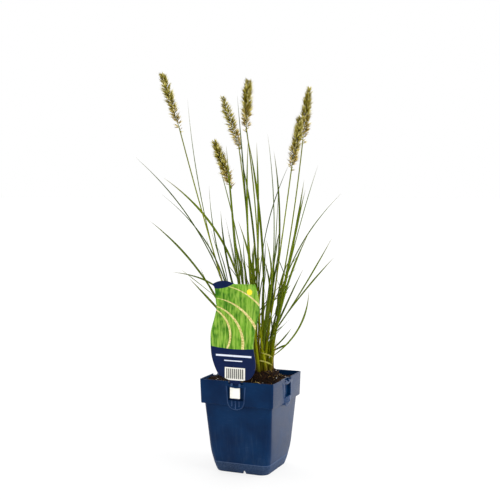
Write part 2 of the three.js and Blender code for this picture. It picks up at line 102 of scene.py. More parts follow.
# %% [markdown]
# ## Sums on wires
# Every finish and every repeated piece below is a tree of nodes. The nodes could be added and linked one
# by one, but that hides the idea. So two small classes help: a wire is a socket that can be added,
# multiplied and raised to a power like a number, and a graph adds nodes to one tree. The same pair serves
# shader trees and geometry trees.


# %% Wires and graphs
class Wire:
    """A socket that can be used in sums. Each sum adds one Math node to its graph."""

    def __init__(self, graph, socket):
        self.graph = graph
        self.socket = socket

    def __add__(self, other):
        return self.graph.maths("ADD", self, other)

    def __sub__(self, other):
        return self.graph.maths("SUBTRACT", self, other)

    def __rsub__(self, other):
        return self.graph.maths("SUBTRACT", other, self)

    def __mul__(self, other):
        return self.graph.maths("MULTIPLY", self, other)

    def __truediv__(self, other):
        return self.graph.maths("DIVIDE", self, other)

    def __pow__(self, other):
        return self.graph.maths("POWER", self, other)

    __radd__ = __add__
    __rmul__ = __mul__

    def sine(self):
        return self.graph.maths("SINE", self)

    def size(self):
        return self.graph.maths("ABSOLUTE", self)

    def rise(self, low, high):
        """0 below low, 1 above high, and a soft step between."""
        return self.graph.node(
            "ShaderNodeMapRange",
            {"interpolation_type": "SMOOTHSTEP"},
            {"Value": self, "From Min": low, "From Max": high},
        )

    def other(self, name):
        """Another output of the same node."""
        return Wire(self.graph, self.socket.node.outputs[name])


class Graph:
    """Adds nodes to one tree."""

    def __init__(self, tree):
        self.tree = tree

    def node(self, kind, settings=None, values=None, out=0):
        """A node of one kind. Its settings are set first, then its sockets are set or linked."""
        node = self.tree.nodes.new(kind)
        for name, value in (settings or {}).items():
            setattr(node, name, value)
        for name, value in (values or {}).items():
            self.plug(value, node.inputs[name])
        return Wire(self, node.outputs[out]) if node.outputs else None

    def plug(self, value, socket):
        if isinstance(value, Wire):
            self.tree.links.new(value.socket, socket)
        else:
            socket.default_value = value

    def maths(self, operation, *values):
        return self.node("ShaderNodeMath", {"operation": operation}, dict(enumerate(values)))

    def parts(self, vector):
        """The X, Y and Z of a vector."""
        first = self.node("ShaderNodeSeparateXYZ", None, {0: vector})
        return first, first.other("Y"), first.other("Z")

    def reach(self, vector, way):
        """How far a vector goes one way."""
        return self.node("ShaderNodeVectorMath", {"operation": "DOT_PRODUCT"}, {0: vector, 1: way}, out=1)


# %% [markdown]
# ## Finishes
# Leaves, plastic and compost each vary over their surface. A picture could be painted for each, but a
# pattern that is worked out in place needs no seams and holds at any distance. So a finish here is a
# Principled shader whose colour, roughness and bump come from patterns. A shader graph adds the few nodes
# that are used again and again: object coordinates, named attributes that a leaf carries along its
# length, noise, and a colour mix. Numbers that don't change over a surface are set on the shader itself.


# %% Shader graphs
NOISE_ROUGHNESS = 0.55
SCREEN_GAMMA = 2.2


class Finish(Graph):
    """A material under construction."""

    def __init__(self, name):
        self.material = bpy.data.materials.new(name)
        self.material.use_nodes = True
        super().__init__(self.material.node_tree)
        self.tree.nodes.clear()

    def place(self):
        return self.node("ShaderNodeTexCoord", out="Object")

    def stretch(self, vector, scale):
        return self.node("ShaderNodeMapping", None, {"Vector": vector, "Scale": scale})

    def carried(self, name):
        return self.node("ShaderNodeAttribute", {"attribute_name": name}, out="Fac")

    def noise(self, vector, scale, detail=3.0):
        values = {"Vector": vector, "Scale": scale, "Detail": detail, "Roughness": NOISE_ROUGHNESS}
        return self.node("ShaderNodeTexNoise", None, values)

    def mix(self, share, first, second):
        colours = [c if isinstance(c, Wire) else (*c, 1) for c in (first, second)]
        values = {0: share, 6: colours[0], 7: colours[1]}
        return self.node("ShaderNodeMix", {"data_type": "RGBA"}, values, out=2)

    def bump(self, height, distance):
        values = {"Strength": 1.0, "Distance": distance, "Height": height}
        return self.node("ShaderNodeBump", None, values)

    def done(self, **values):
        """The shader with these values, as the finished material."""
        named = {name.replace("_", " "): value for name, value in values.items()}
        shader = self.node("ShaderNodeBsdfPrincipled", None, named)
        self.node("ShaderNodeOutputMaterial", None, {"Surface": shader})
        return self.material


def srgb(red, green, blue):
    """A colour as it is read off a screen, 0 to 255, made linear."""
    return tuple((c / 255) ** SCREEN_GAMMA for c in (red, green, blue))


# %% [markdown]
# ## Pieces
# A few helpers turn shapes into finished pieces. One makes an object from points and faces, one gives
# each of its points a number to carry, one freezes an object with modifiers into a plain mesh, and one
# hands a finished piece to the frame: which body it rides on and which solid it stands for. The modifiers
# could stay live, but a plain mesh is what is kept.


# %% Piece helpers
def new_object(name, vertices, edges, faces):
    mesh = bpy.data.meshes.new(name)
    mesh.from_pydata(vertices, edges, faces)
    return placed(name, mesh)


def carry(piece, name, numbers):
    """Gives each point of the piece its own number, which recipes and finishes can read."""
    piece.data.attributes.new(name, "FLOAT", "POINT").data.foreach_set("value", numbers)


def frozen(recipe, name):
    """The evaluated recipe as one plain mesh object. The recipe is removed."""
    graph = bpy.context.evaluated_depsgraph_get()
    mesh = bpy.data.meshes.new_from_object(recipe.evaluated_get(graph))
    mesh.name = name
    bpy.data.objects.remove(recipe)
    return placed(name, mesh)


def hand_over(piece, slot_name, *nodes):
    """Gives a finished piece to the frame, in place of the named nodes of the model if there are any."""
    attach(piece, "root")
    if nodes:
        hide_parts(*nodes)
    print(piece.name, len(piece.data.polygons), "faces")


# %% [markdown]
# ## Recipes for geometry
# What repeats or follows a path is grown by Geometry Nodes. Loops in Python could do the same, but a tree
# is quicker for many thousands of points, and its inputs say plainly what can be changed. A recipe is a
# geometry tree with named inputs. It is set on an object as a modifier, its inputs are filled in, and the
# result is frozen into a plain mesh, so nothing is left live in the finished piece.


# %% Geometry recipes
SOCKETS = {
    "number": "NodeSocketFloat",
    "count": "NodeSocketInt",
    "finish": "NodeSocketMaterial",
    "set": "NodeSocketCollection",
    "shape": "NodeSocketGeometry",
}


class Recipe(Graph):
    """A geometry tree under construction."""

    def __init__(self, name, **inputs):
        tree = bpy.data.node_groups.new(name, "GeometryNodeTree")
        super().__init__(tree)
        tree.interface.new_socket("shape", in_out="INPUT", socket_type=SOCKETS["shape"])
        for label, kind in inputs.items():
            tree.interface.new_socket(label, in_out="INPUT", socket_type=SOCKETS[kind])
        tree.interface.new_socket("shape", in_out="OUTPUT", socket_type=SOCKETS["shape"])
        self.entry = tree.nodes.new("NodeGroupInput")

    def given(self, name):
        return Wire(self, self.entry.outputs[name])

    def attribute(self, name, data_type="FLOAT"):
        return self.node("GeometryNodeInputNamedAttribute", {"data_type": data_type}, {"Name": name})

    def keep(self, shape, name, value):
        settings = {"data_type": "FLOAT", "domain": "POINT"}
        values = {"Geometry": shape, "Name": name, "Value": value}
        return self.node("GeometryNodeStoreNamedAttribute", settings, values)

    def join(self, *shapes):
        joined = self.node("GeometryNodeJoinGeometry")
        for shape in reversed(shapes):
            self.tree.links.new(shape.socket, joined.socket.node.inputs[0])
        return joined

    def vector(self, x, y, z):
        return self.node("ShaderNodeCombineXYZ", None, {0: x, 1: y, 2: z})

    def chance(self, low, high, seed):
        values = {2: low, 3: high, "Seed": seed}
        return self.node("FunctionNodeRandomValue", {"data_type": "FLOAT"}, values, out=1)

    def choice(self, last, seed):
        """A whole number from 0 to the last."""
        values = {4: 0, 5: last, "Seed": seed}
        return self.node("FunctionNodeRandomValue", {"data_type": "INT"}, values, out=2)

    def turned(self, rotation, x, y, z):
        angles = self.node("FunctionNodeEulerToRotation", None, {0: self.vector(x, y, z)})
        values = {"Rotation": rotation, "Rotate By": angles}
        return self.node("FunctionNodeRotateRotation", {"rotation_space": "LOCAL"}, values)

    def circle(self, corners):
        values = {"Resolution": corners, "Radius": 1.0}
        return self.node("GeometryNodeCurvePrimitiveCircle", None, values)

    def swept(self, threads, section):
        """The section drawn along the threads, as wide as each of their points says, with closed ends."""
        values = {"Curve": threads, "Profile Curve": section, "Scale": self.attribute("half_width"),
                  "Fill Caps": True}
        return self.node("GeometryNodeCurveToMesh", None, values)

    def strewn(self, points, set_name, pick, rotation, size, where=True):
        """One of a set's shapes on each point where one is wanted."""
        values = {"Collection": self.given(set_name), "Separate Children": True, "Reset Children": True}
        shapes = self.node("GeometryNodeCollectionInfo", None, values)
        values = {"Points": points, "Selection": where, "Instance": shapes, "Pick Instance": True,
                  "Instance Index": pick, "Rotation": rotation, "Scale": size}
        return self.node("GeometryNodeInstanceOnPoints", None, values)

    def finished(self, shape, coats):
        """Real mesh, its materials and smooth shading. A coat is a finish and where it goes."""
        shape = self.node("GeometryNodeSetShadeSmooth", None, {"Geometry": shape})
        shape = self.node("GeometryNodeRealizeInstances", None, {"Geometry": shape})
        for finish, where in coats:
            values = {"Geometry": shape, "Material": self.given(finish)}
            if where is not None:
                values["Selection"] = where
            shape = self.node("GeometryNodeSetMaterial", None, values)
        last = self.tree.nodes.new("NodeGroupOutput")
        self.tree.links.new(shape.socket, last.inputs[0])

    def grow(self, recipe, name, **sizes):
        """The tree run on an object, as one plain mesh object."""
        modifier = recipe.modifiers.new(self.tree.name, "NODES")
        modifier.node_group = self.tree
        for socket in self.tree.interface.items_tree:
            if socket.in_out == "INPUT" and socket.name in sizes:
                modifier[socket.identifier] = sizes[socket.name]
        return frozen(recipe, name)


# %% [markdown]
# ## How the grass is arranged
# A clump of grass is a ring of shoots. Each shoot starts as a round sheath that stands in the soil, and
# leaves come out of it and arch away. Older shoots carry a stalk with a flower head. Shoots could be
# scattered by chance, but the long leaves and the heads make the outline of this plant, so they are
# planned one by one. The lists below are measured square on from in front, in millimetres: where each
# shoot stands on its ring, the point that each leaf passes on its way, the point where it ends, and how
# far that end stands away from the viewer. Between them stand new shoots, which have one leaf each.

# %% Plan of the clump
CROWN = Vector((9, 2, 0))
MOUND_TOP = 156
FOOT_DEPTH = 15
STAND_HEIGHT = MOUND_TOP + 2.5
GAP = 0.35
RINGS = {"outer": (23, 21), "between": (18, 16.5), "middle": (13, 12), "inner": (4.5, 4.5)}

SHOOTS = [
    {"ring": "middle", "turn": 168, "culm": (-60, 343, -112, 533, 15), "head": (-140, 620),
     "leaves": [(-72, 392, -99, 578, 30)]},
    {"ring": "middle", "turn": 117, "culm": (-3, 343, -20, 507, 55), "head": (-47, 585),
     "leaves": [(-8, 398, -22, 583, 11)]},
    {"ring": "middle", "turn": 271, "culm": (10, 348, -8, 533, -60), "head": (-5, 609), "leaves": []},
    {"ring": "middle", "turn": 220, "culm": (-22, 304, -33, 445, -45), "head": (-59, 515), "leaves": []},
    {"ring": "middle", "turn": 14, "culm": (56, 336, 80, 515, 45), "head": (90, 598),
     "leaves": [(52, 205, 63, 220, 10)]},
    {"ring": "middle", "turn": 322, "culm": (45, 340, 63, 474, -40), "head": (77, 553),
     "leaves": [(41, 216, 52, 225, -12), (49, 191, 60, 196, -4)]},
    {"ring": "outer", "turn": 166, "leaves": [(-83, 370, -180, 487, 47), (-58, 270, -80, 315, 20)]},
    {"ring": "outer", "turn": 138, "leaves": [(-52, 367, -136, 455, 85), (-38, 325, -48, 406, 60)]},
    {"ring": "outer", "turn": 194, "leaves": [(-82, 309, -158, 388, -42), (-72, 356, -139, 429, -20)]},
    {"ring": "outer", "turn": 222, "leaves": [(-57, 286, -124, 308, -30), (-58, 256, -97, 298, -25)]},
    {"ring": "outer", "turn": 0, "leaves": [(71, 337, 140, 431, -10), (82, 276, 129, 331, -45)]},
    {"ring": "outer", "turn": 28, "leaves": [(66, 343, 104, 476, 40), (84, 287, 126, 362, 25)]},
    {"ring": "outer", "turn": 55, "leaves": [(63, 340, 82, 452, 70), (57, 261, 82, 315, 60)]},
    {"ring": "outer", "turn": 332, "leaves": [(59, 325, 84, 437, -70), (65, 312, 90, 370, -60),
                                              (73, 217, 90, 278, -20)]},
    {"ring": "outer", "turn": 305, "leaves": [(18, 343, 59, 477, -100), (32, 289, 23, 359, -60)]},
    {"ring": "outer", "turn": 83, "leaves": [(44, 354, 35, 496, 80), (36, 325, 42, 437, 110)]},
    {"ring": "outer", "turn": 111, "leaves": [(10, 359, 8, 510, 125), (-20, 354, -57, 499, 100)]},
    {"ring": "outer", "turn": 249, "leaves": [(-26, 359, -39, 505, -90), (-55, 351, -66, 443, -75)]},
    {"ring": "outer", "turn": 277, "leaves": [(-5, 365, -5, 518, -110), (-8, 289, -13, 365, -50)]},
    {"ring": "middle", "turn": 65, "leaves": [(14, 387, -5, 515, 40), (29, 273, 18, 331, 50)]},
    {"ring": "inner", "turn": 40, "leaves": [(35, 362, 25, 524, 25)]},
    {"ring": "inner", "turn": 160, "leaves": [(4, 359, -18, 496, 20)]},
    {"ring": "inner", "turn": 280, "leaves": [(1, 312, -21, 389, -36)], "young_shift": 12},
]
NEW_SHOOT_TURNS = (41, 97, 152, 188, 235, 258, 291, 346)
SHOOTS += [{"ring": "between", "turn": turn, "leaves": []} for turn in NEW_SHOOT_TURNS]
print(len(SHOOTS), "shoots,", sum("culm" in shoot for shoot in SHOOTS), "with a flower head")

# %% [markdown]
# ## Arches
# A leaf bends steadily under its own weight. It could be drawn as a free curve with handles, but a
# quadratic arch through its three points has just that bend and needs nothing more. What is measured
# square on has to stand further out the further it is from the viewer, or it would look drawn in. The
# points are first worked out in a frame that faces the viewer, and are turned into the pot's own frame
# when a mesh is made from them.


# %% Arches
class Arch:
    """A quadratic curve from a start, passing one point on its way to its end."""

    def __init__(self, start, past, end):
        near = (start - past).length
        t = near / (near + (end - past).length)
        self.start = start
        self.end = end
        self.knee = (past - start * (1 - t) ** 2 - end * t ** 2) / (2 * t * (1 - t))

    def point(self, t):
        return self.start * (1 - t) ** 2 + self.knee * (2 * t * (1 - t)) + self.end * t ** 2

    def tangent(self, t):
        along = (self.knee - self.start) * (1 - t) + (self.end - self.knee) * t
        return along.normalized()

    def points(self, first, last, steps):
        return [self.point(first + (last - first) * i / steps) for i in range(steps + 1)]


def seen_at(x, z, away):
    """The place at this distance behind the pot's axis that is seen at x and z."""
    spread = (EYE_DISTANCE + away) / EYE_DISTANCE
    return Vector((x * spread, away, EYE_HEIGHT + (z - EYE_HEIGHT) * spread))


def limb_arch(start, way):
    """An arch from the start, by the point that it passes, to its tip."""
    past_x, past_z, tip_x, tip_z, tip_away = way
    share = min(0.95, max(0.1, (past_z - start.z) / (tip_z - start.z)))
    past_away = start.y + (tip_away - start.y) * share ** 1.5
    return Arch(start, seen_at(past_x, past_z, past_away), seen_at(tip_x, tip_z, tip_away))


def foot_of(shoot):
    reach_x, reach_away = RINGS[shoot["ring"]]
    turn = math.radians(shoot["turn"])
    return CROWN + Vector((reach_x * math.cos(turn), reach_away * math.sin(turn), STAND_HEIGHT))


HEAD_LEAN = 12
HEAD_BEND = 1.2


def head_arch(shoot, culm):
    """The middle line of a flower head, which goes on from its stalk."""
    culm_away = shoot["culm"][4]
    tip = seen_at(*shoot["head"], culm_away + math.copysign(HEAD_LEAN, culm_away))
    start = culm.point(1) + culm.tangent(1) * GAP
    middle = (start + tip) / 2 + culm.tangent(1) * HEAD_BEND
    return Arch(start, middle, tip)


clump_turn = Matrix.Rotation(EYE_TURN, 3, "Z")


def in_metres(points):
    return [clump_turn @ point * MM for point in points]


def level_way(turn):
    """The level direction at a turn from the X axis."""
    return Vector((math.cos(turn), math.sin(turn), 0))


# %% [markdown]
# ## Limbs as threads
# Every leaf, sheath and stalk is first only a thread: a row of points that carries, point by point, half
# its width, the direction in which its width lies, and how far along it the point is. Each limb could be
# modelled as a mesh of its own, but then a change of section would mean all of them again. One recipe
# later sweeps a section along all the threads of a shoot at once. A grass leaf opens to its full width
# over its first fifth and runs out in a long fine point, and it twists a little as it goes.


# %% Threads
class Threads:
    """Rows of points with the numbers that the sweep needs."""

    def __init__(self):
        self.points = []
        self.edges = []
        self.values = {name: [] for name in ("half_width", "along", "tint", "stalk")}
        self.sides = []

    def add(self, points, sides, half_widths, tint, stalk=0):
        first = len(self.points)
        last = len(points) - 1
        self.points += in_metres(points)
        self.sides += [clump_turn @ side for side in sides]
        self.edges += [(first + i, first + i + 1) for i in range(last)]
        self.values["half_width"] += [width * MM for width in half_widths]
        self.values["along"] += [i / last for i in range(last + 1)]
        self.values["tint"] += [tint] * (last + 1)
        self.values["stalk"] += [stalk] * (last + 1)

    def add_round(self, points, half_widths, tint):
        """A sheath or stalk. It is the same on all sides, so any side will do."""
        self.add(points, [Vector((1, 0, 0))] * len(points), half_widths, tint, stalk=1)

    def recipe(self, name):
        """The threads as an object for a recipe to work on."""
        made = new_object(name, self.points, self.edges, [])
        for label, row in self.values.items():
            carry(made, label, row)
        flat = [number for side in self.sides for number in side]
        made.data.attributes.new("side", "FLOAT_VECTOR", "POINT").data.foreach_set("vector", flat)
        return made


LEAF_HALF_WIDTH = 1.8
LEAF_RINGS = 34
POINT_SPREAD = 0.04


def leaf_spread(share):
    """A leaf's width at a share of its length, 1 where it is widest."""
    opening = min(1, 0.5 + 2.5 * share)
    taper = min(1, 3.2 * (1 - share)) ** 0.8
    return max(POINT_SPREAD, opening * taper)


def leaf_sides(points, start_turn, twist):
    """The direction of a leaf's width at each point: level at first, then turning."""
    lean = points[-1] - points[0]
    level = UP.cross(Vector((lean.x, lean.y, 0))).normalized()
    last = len(points) - 1
    sides = []
    for i, _point in enumerate(points):
        along = (points[min(last, i + 1)] - points[max(0, i - 1)]).normalized()
        across = (level - along * level.dot(along)).normalized()
        turn = start_turn + twist * i / last
        sides.append(Matrix.Rotation(turn, 3, along) @ across)
    return sides


def add_leaf(threads, arch, first, half_width, start_turn, twist, tint):
    points = arch.points(first, 1, LEAF_RINGS)
    widths = [leaf_spread(i / LEAF_RINGS) * half_width for i in range(LEAF_RINGS + 1)]
    threads.add(points, leaf_sides(points, start_turn, twist), widths, tint)


# %% [markdown]
# ## The sweep
# A grass leaf is thin and folded into a shallow channel, which is what makes it stiff and what catches the
# light along one half of it. A flat strip with a bump would look right only from straight above. So the
# recipe turns the threads into curves and sweeps real sections along them: a flat folded one for leaves
# and a round one for stalks. The place across the section is kept as a number, so that the finish can
# draw the leaf's fine ribs.


# %% Sweep recipe
SECTION_CORNERS = 12


def sweep_recipe():
    plan = Recipe(
        "grass limbs", thickness="number", channel="number", blade="finish", stalk="finish")
    threads = plan.node("GeometryNodeMeshToCurve", None, {"Mesh": plan.given("shape")})
    side = plan.attribute("side", "FLOAT_VECTOR")
    threads = plan.node("GeometryNodeSetCurveNormal", {"mode": "FREE"}, {0: threads, "Normal": side})
    stalk = plan.attribute("stalk")
    values = {"Geometry": threads, "Selection": stalk}
    stalks = plan.node("GeometryNodeSeparateGeometry", {"domain": "CURVE"}, values)
    blades = stalks.other("Inverted")

    x, y, _z = plan.parts(plan.node("GeometryNodeInputPosition"))
    round_section = plan.keep(plan.circle(SECTION_CORNERS), "across", x)
    folded = plan.vector(x, y * plan.given("thickness") + x.size() * plan.given("channel"), 0.0)
    values = {"Geometry": round_section, "Position": folded}
    leaf_section = plan.node("GeometryNodeSetPosition", None, values)

    leaves = plan.swept(blades, leaf_section)
    tubes = plan.swept(stalks, round_section)
    plan.finished(plan.join(leaves, tubes), [("blade", None), ("stalk", stalk)])
    return plan


# %% [markdown]
# ## Finish of the leaves and stalks
# A grass leaf isn't one green. It is yellower near the base, duller and paler at the dried tip, and each
# leaf differs a little from its neighbours. Its midrib is paler and yellower, partly the leaf's own colour
# and partly a painted highlight along the fold. Fine ribs run along it, which show as stripes and as a break
# in the shine. One flat colour for each leaf would be simpler, but seen close it looks like ribbon. So the
# finish reads the numbers that each thread carries: its place along and across the leaf, and the leaf's own
# tint. Sheaths and stalks are yellow-green low down, brown where they stand in the soil, and duller towards
# the flower heads.


# %% Leaf and stalk finishes
def leaf_finish():
    paint = Finish("leaf green")
    along = paint.carried("along")
    tint = paint.carried("tint")
    across = paint.carried("across")
    place = paint.place()
    patches = paint.noise(paint.stretch(place, (60, 60, 14)), 1.0)
    green = paint.mix(tint, srgb(40, 58, 4), srgb(106, 122, 14))
    green = paint.mix(patches.rise(0.35, 0.75) * 0.5, green, srgb(70, 90, 6))
    base = (1 - along.rise(0.0, 0.3)) * 0.5
    green = paint.mix(base, green, srgb(104, 110, 12))
    # A paler, yellower midrib: partly the leaf's own colour, partly a painted highlight along the fold.
    midrib = (1 - across.size().rise(0.03, 0.16)) * 0.45
    green = paint.mix(midrib, green, srgb(154, 162, 66))
    ribs = (across * 34).sine()
    green = paint.mix((ribs * 0.5 + 0.5) * 0.3, green, srgb(36, 54, 6))
    dry = along.rise(0.78, 1.0) * (0.25 + tint * 0.6)
    green = paint.mix(dry, green, srgb(132, 124, 70))
    spots = paint.noise(place, 900.0, 2.0).rise(0.66, 0.74) * 0.35
    green = paint.mix(spots, green, srgb(100, 80, 30))
    return paint.done(
        Base_Color=green, Roughness=0.5 + ribs * 0.06 + patches * 0.1, Specular_IOR_Level=0.05,
        Normal=paint.bump(ribs, 0.00006))


def stalk_finish():
    paint = Finish("sheath and stalk green")
    along = paint.carried("along")
    tint = paint.carried("tint")
    across = paint.carried("across")
    place = paint.place()
    _x, _y, height = paint.parts(place)
    patches = paint.noise(paint.stretch(place, (120, 120, 25)), 1.0)
    green = paint.mix(tint, srgb(74, 96, 6), srgb(138, 148, 18))
    low = 1 - height.rise(0.150, 0.250)
    green = paint.mix(low * (0.3 + patches * 0.6), green, srgb(150, 148, 14))
    foot = 1 - height.rise(0.148, 0.176)
    green = paint.mix(foot * 0.9, green, srgb(64, 48, 20))
    high = height.rise(0.38, 0.52) * 0.5
    green = paint.mix(high, green, srgb(88, 88, 24))
    ribs = (across * 26).sine()
    green = paint.mix(ribs.rise(-0.4, 0.8) * 0.4, green, srgb(40, 44, 2))
    red = (patches * (1 - along)).rise(0.3, 0.55) * 0.35
    green = paint.mix(red, green, srgb(92, 64, 22))
    return paint.done(
        Base_Color=green, Roughness=0.45 + patches * 0.15, Specular_IOR_Level=0.05,
        Normal=paint.bump(ribs + patches * 2, 0.00008))


leaf_green = leaf_finish()
stalk_green = stalk_finish()
sweep = sweep_recipe()
print(len(leaf_green.node_tree.nodes), "nodes in the leaf's finish,", len(sweep.tree.nodes), "in the sweep")

# %% [markdown]
# ## The shoots
# Now each shoot's threads are laid: its sheath, its stalk if it flowers, its leaves and a short young leaf.
# Python's own random numbers would do for their widths and twists, but the stream of draws here repeats
# the model's own, so every leaf lies as the solid does that it stands for.


# %% Shoots
DRAW_FACTOR = 1664525
DRAW_STEP = 1013904223
DRAW_RANGE = 2 ** 32
SHOOT_SEED = 99
SHEATH_RADIUS = 2.8
SHEATH_TOP = 0.36
SHEATH_RINGS = 16
ROOT_RINGS = 4
COLLAR_SWELL = 0.1
CULM_RADIUS = 0.95
CULM_RINGS = 24
LEAF_START = 0.06
LEAF_REACH = 0.22
LOW_LEAF_HEIGHT = 230
START_TURN = 0.7


def seeded_draws(seed):
    """The same stream of numbers from 0 to 1 that places the model's own leaves."""
    state = seed
    while True:
        state = (state * DRAW_FACTOR + DRAW_STEP) % DRAW_RANGE
        yield state / DRAW_RANGE


def young_way(shoot, start, draw):
    """Where a young leaf passes and ends, as in the plan of the clump."""
    turn = math.radians(shoot["turn"])
    reach = 12 + 26 * next(draw)
    height = 250 + 110 * next(draw)
    x = start.x + reach * math.cos(turn)
    middle = start.x + 0.3 * (x - start.x)
    away = start.y + reach * math.sin(turn) + shoot.get("young_shift", 0)
    return middle, start.z + (height - start.z) * 0.55, x, height, away


def add_sheath(threads, foot, arch, tint):
    """A round sheath from below the soil, slimmer as it rises, with a slight collar halfway up."""
    root = Vector((foot.x, foot.y, MOUND_TOP - FOOT_DEPTH))
    points = [root.lerp(foot, i / ROOT_RINGS) for i in range(ROOT_RINGS)]
    points += arch.points(0, SHEATH_TOP, SHEATH_RINGS)
    widths = []
    for i in range(len(points)):
        tall = max(0, (i - ROOT_RINGS) / SHEATH_RINGS)
        collar = COLLAR_SWELL * math.exp(-((tall - 0.5) / 0.04) ** 2)
        slim = 0.5 * min(1, tall / 0.5) + 0.14 * tall
        widths.append(SHEATH_RADIUS * (1.0 - slim + collar))
    widths[-1] = SHEATH_RADIUS * 0.3
    threads.add_round(points, widths, tint)


def add_culm(threads, arch, tint):
    """A flower stalk, from inside its sheath to the foot of its head."""
    points = arch.points(SHEATH_TOP - 0.08, 1, CULM_RINGS)
    widths = [CULM_RADIUS * (1.2 - 0.25 * i / CULM_RINGS) for i in range(CULM_RINGS + 1)]
    threads.add_round(points, widths, tint)


def make_shoot(shoot, number):
    """One shoot as a finished piece. Gives back the arch of its sheath."""
    draw = seeded_draws(SHOOT_SEED + number)
    foot = foot_of(shoot)
    threads = Threads()
    ways = []
    if "culm" not in shoot and not shoot["leaves"]:
        main = limb_arch(foot, young_way(shoot, foot, draw))
    else:
        main = limb_arch(foot, shoot.get("culm") or shoot["leaves"][0])
        side_leaves = shoot["leaves"] if "culm" in shoot else shoot["leaves"][1:]
        for place, way in enumerate(side_leaves):
            is_low = way[1] < LOW_LEAF_HEIGHT
            share = LEAF_START if is_low else LEAF_START + LEAF_REACH * (0.5 + 0.3 * place)
            ways.append((main.point(share), way))
        young_start = main.point(LEAF_START + LEAF_REACH * 0.9)
        ways.append((young_start, young_way(shoot, young_start, draw)))
    tints = random.Random(number)
    turn_way = 1 if number % 2 else -1
    add_sheath(threads, foot, main, tints.random())
    if "culm" in shoot:
        add_culm(threads, main, tints.random())
    else:
        twist = 1.6 * (next(draw) - 0.5)
        add_leaf(threads, main, SHEATH_TOP - 0.06, LEAF_HALF_WIDTH, START_TURN * turn_way, twist,
                 tints.random())
    for start, way in ways:
        half_width = LEAF_HALF_WIDTH * (0.8 + 0.25 * next(draw))
        twist = 2.2 * (next(draw) - 0.5)
        add_leaf(threads, limb_arch(start, way), 0, half_width, START_TURN * turn_way, twist,
                 tints.random())
    grown = sweep.grow(
        threads.recipe(f"threads_{number}"), f"grass_stem_{number}",
        thickness=0.27, channel=0.4, blade=leaf_green, stalk=stalk_green)
    hand_over(grown, "grass", f"stem_{number}")
    return main


stem_arches = []
culms = []
for number, shoot in enumerate(SHOOTS, 1):
    main = make_shoot(shoot, number)
    stem_arches.append(main)
    if "culm" in shoot:
        culms.append((number, head_arch(shoot, main)))


# %% [markdown]
# ## Split sheaths and inner leaves
# A clump is never tidy at its foot. Round each stem stand the split remains of older sheaths, which lie
# against it and peel off at their ends, and thin leaves push up between the stems. They could be strewn
# over the crown, but some would then float free. So they are threads too, and a split sheath follows the
# stem's own arch at a stem's thickness from it, on a side that is drawn by chance. Short side blades open
# from the stems as well.


# %% Split sheaths
SPLIT_SEED = 500
SPLITS_PER_STEM = 3
SPLIT_HALF_WIDTH = 1.5
SPLIT_STEPS = 12


def split_sheath_finish():
    paint = Finish("split sheath")
    along = paint.carried("along")
    tint = paint.carried("tint")
    ribs = (paint.carried("across") * 26).sine()
    patches = paint.noise(paint.stretch(paint.place(), (160, 160, 40)), 1.0)
    olive = paint.mix(tint, srgb(92, 78, 14), srgb(166, 156, 52))
    olive = paint.mix(along.rise(0.55, 1.0) * 0.7, olive, srgb(156, 138, 74))
    olive = paint.mix((1 - along.rise(0.05, 0.4)) * 0.7, olive, srgb(74, 50, 20))
    olive = paint.mix(patches.rise(0.5, 0.7) * 0.5, olive, srgb(70, 44, 22))
    olive = paint.mix(ribs.rise(-0.4, 0.8) * 0.4, olive, srgb(44, 38, 8))
    return paint.done(
        Base_Color=olive, Roughness=0.6 + patches * 0.2, Specular_IOR_Level=0.05,
        Normal=paint.bump(ribs, 0.00006))


def make_split_sheaths():
    draw = random.Random(SPLIT_SEED)
    threads = Threads()
    for arch in stem_arches:
        for _piece in range(SPLITS_PER_STEM):
            away = level_way(draw.uniform(0, math.tau))
            top = draw.uniform(0.05, 0.22)
            peel = draw.uniform(1, 6)
            points = [arch.point(0) + away * SHEATH_RADIUS * 0.9 - UP * 5]
            for i in range(SPLIT_STEPS + 1):
                share = i / SPLIT_STEPS
                hug = SHEATH_RADIUS * (1.02 - 1.1 * top * share)
                points.append(arch.point(top * share) + away * (hug + peel * share ** 3))
            last = len(points) - 1
            widths = [SPLIT_HALF_WIDTH * max(0.08, 1 - (i / last) ** 2.2) for i in range(last + 1)]
            threads.add(points, [UP.cross(away)] * (last + 1), widths, draw.random())
    pieces = sweep.grow(
        threads.recipe("split_threads"), "split_sheaths",
        thickness=0.16, channel=-0.3, blade=split_sheath_finish(), stalk=stalk_green)
    hand_over(pieces, "grass")


# %% Inner leaves
INNER_SEED = 700
INNER_LEAVES = 20
SIDE_BLADES_PER_STEM = 2
INNER_HALF_WIDTH = 1.2


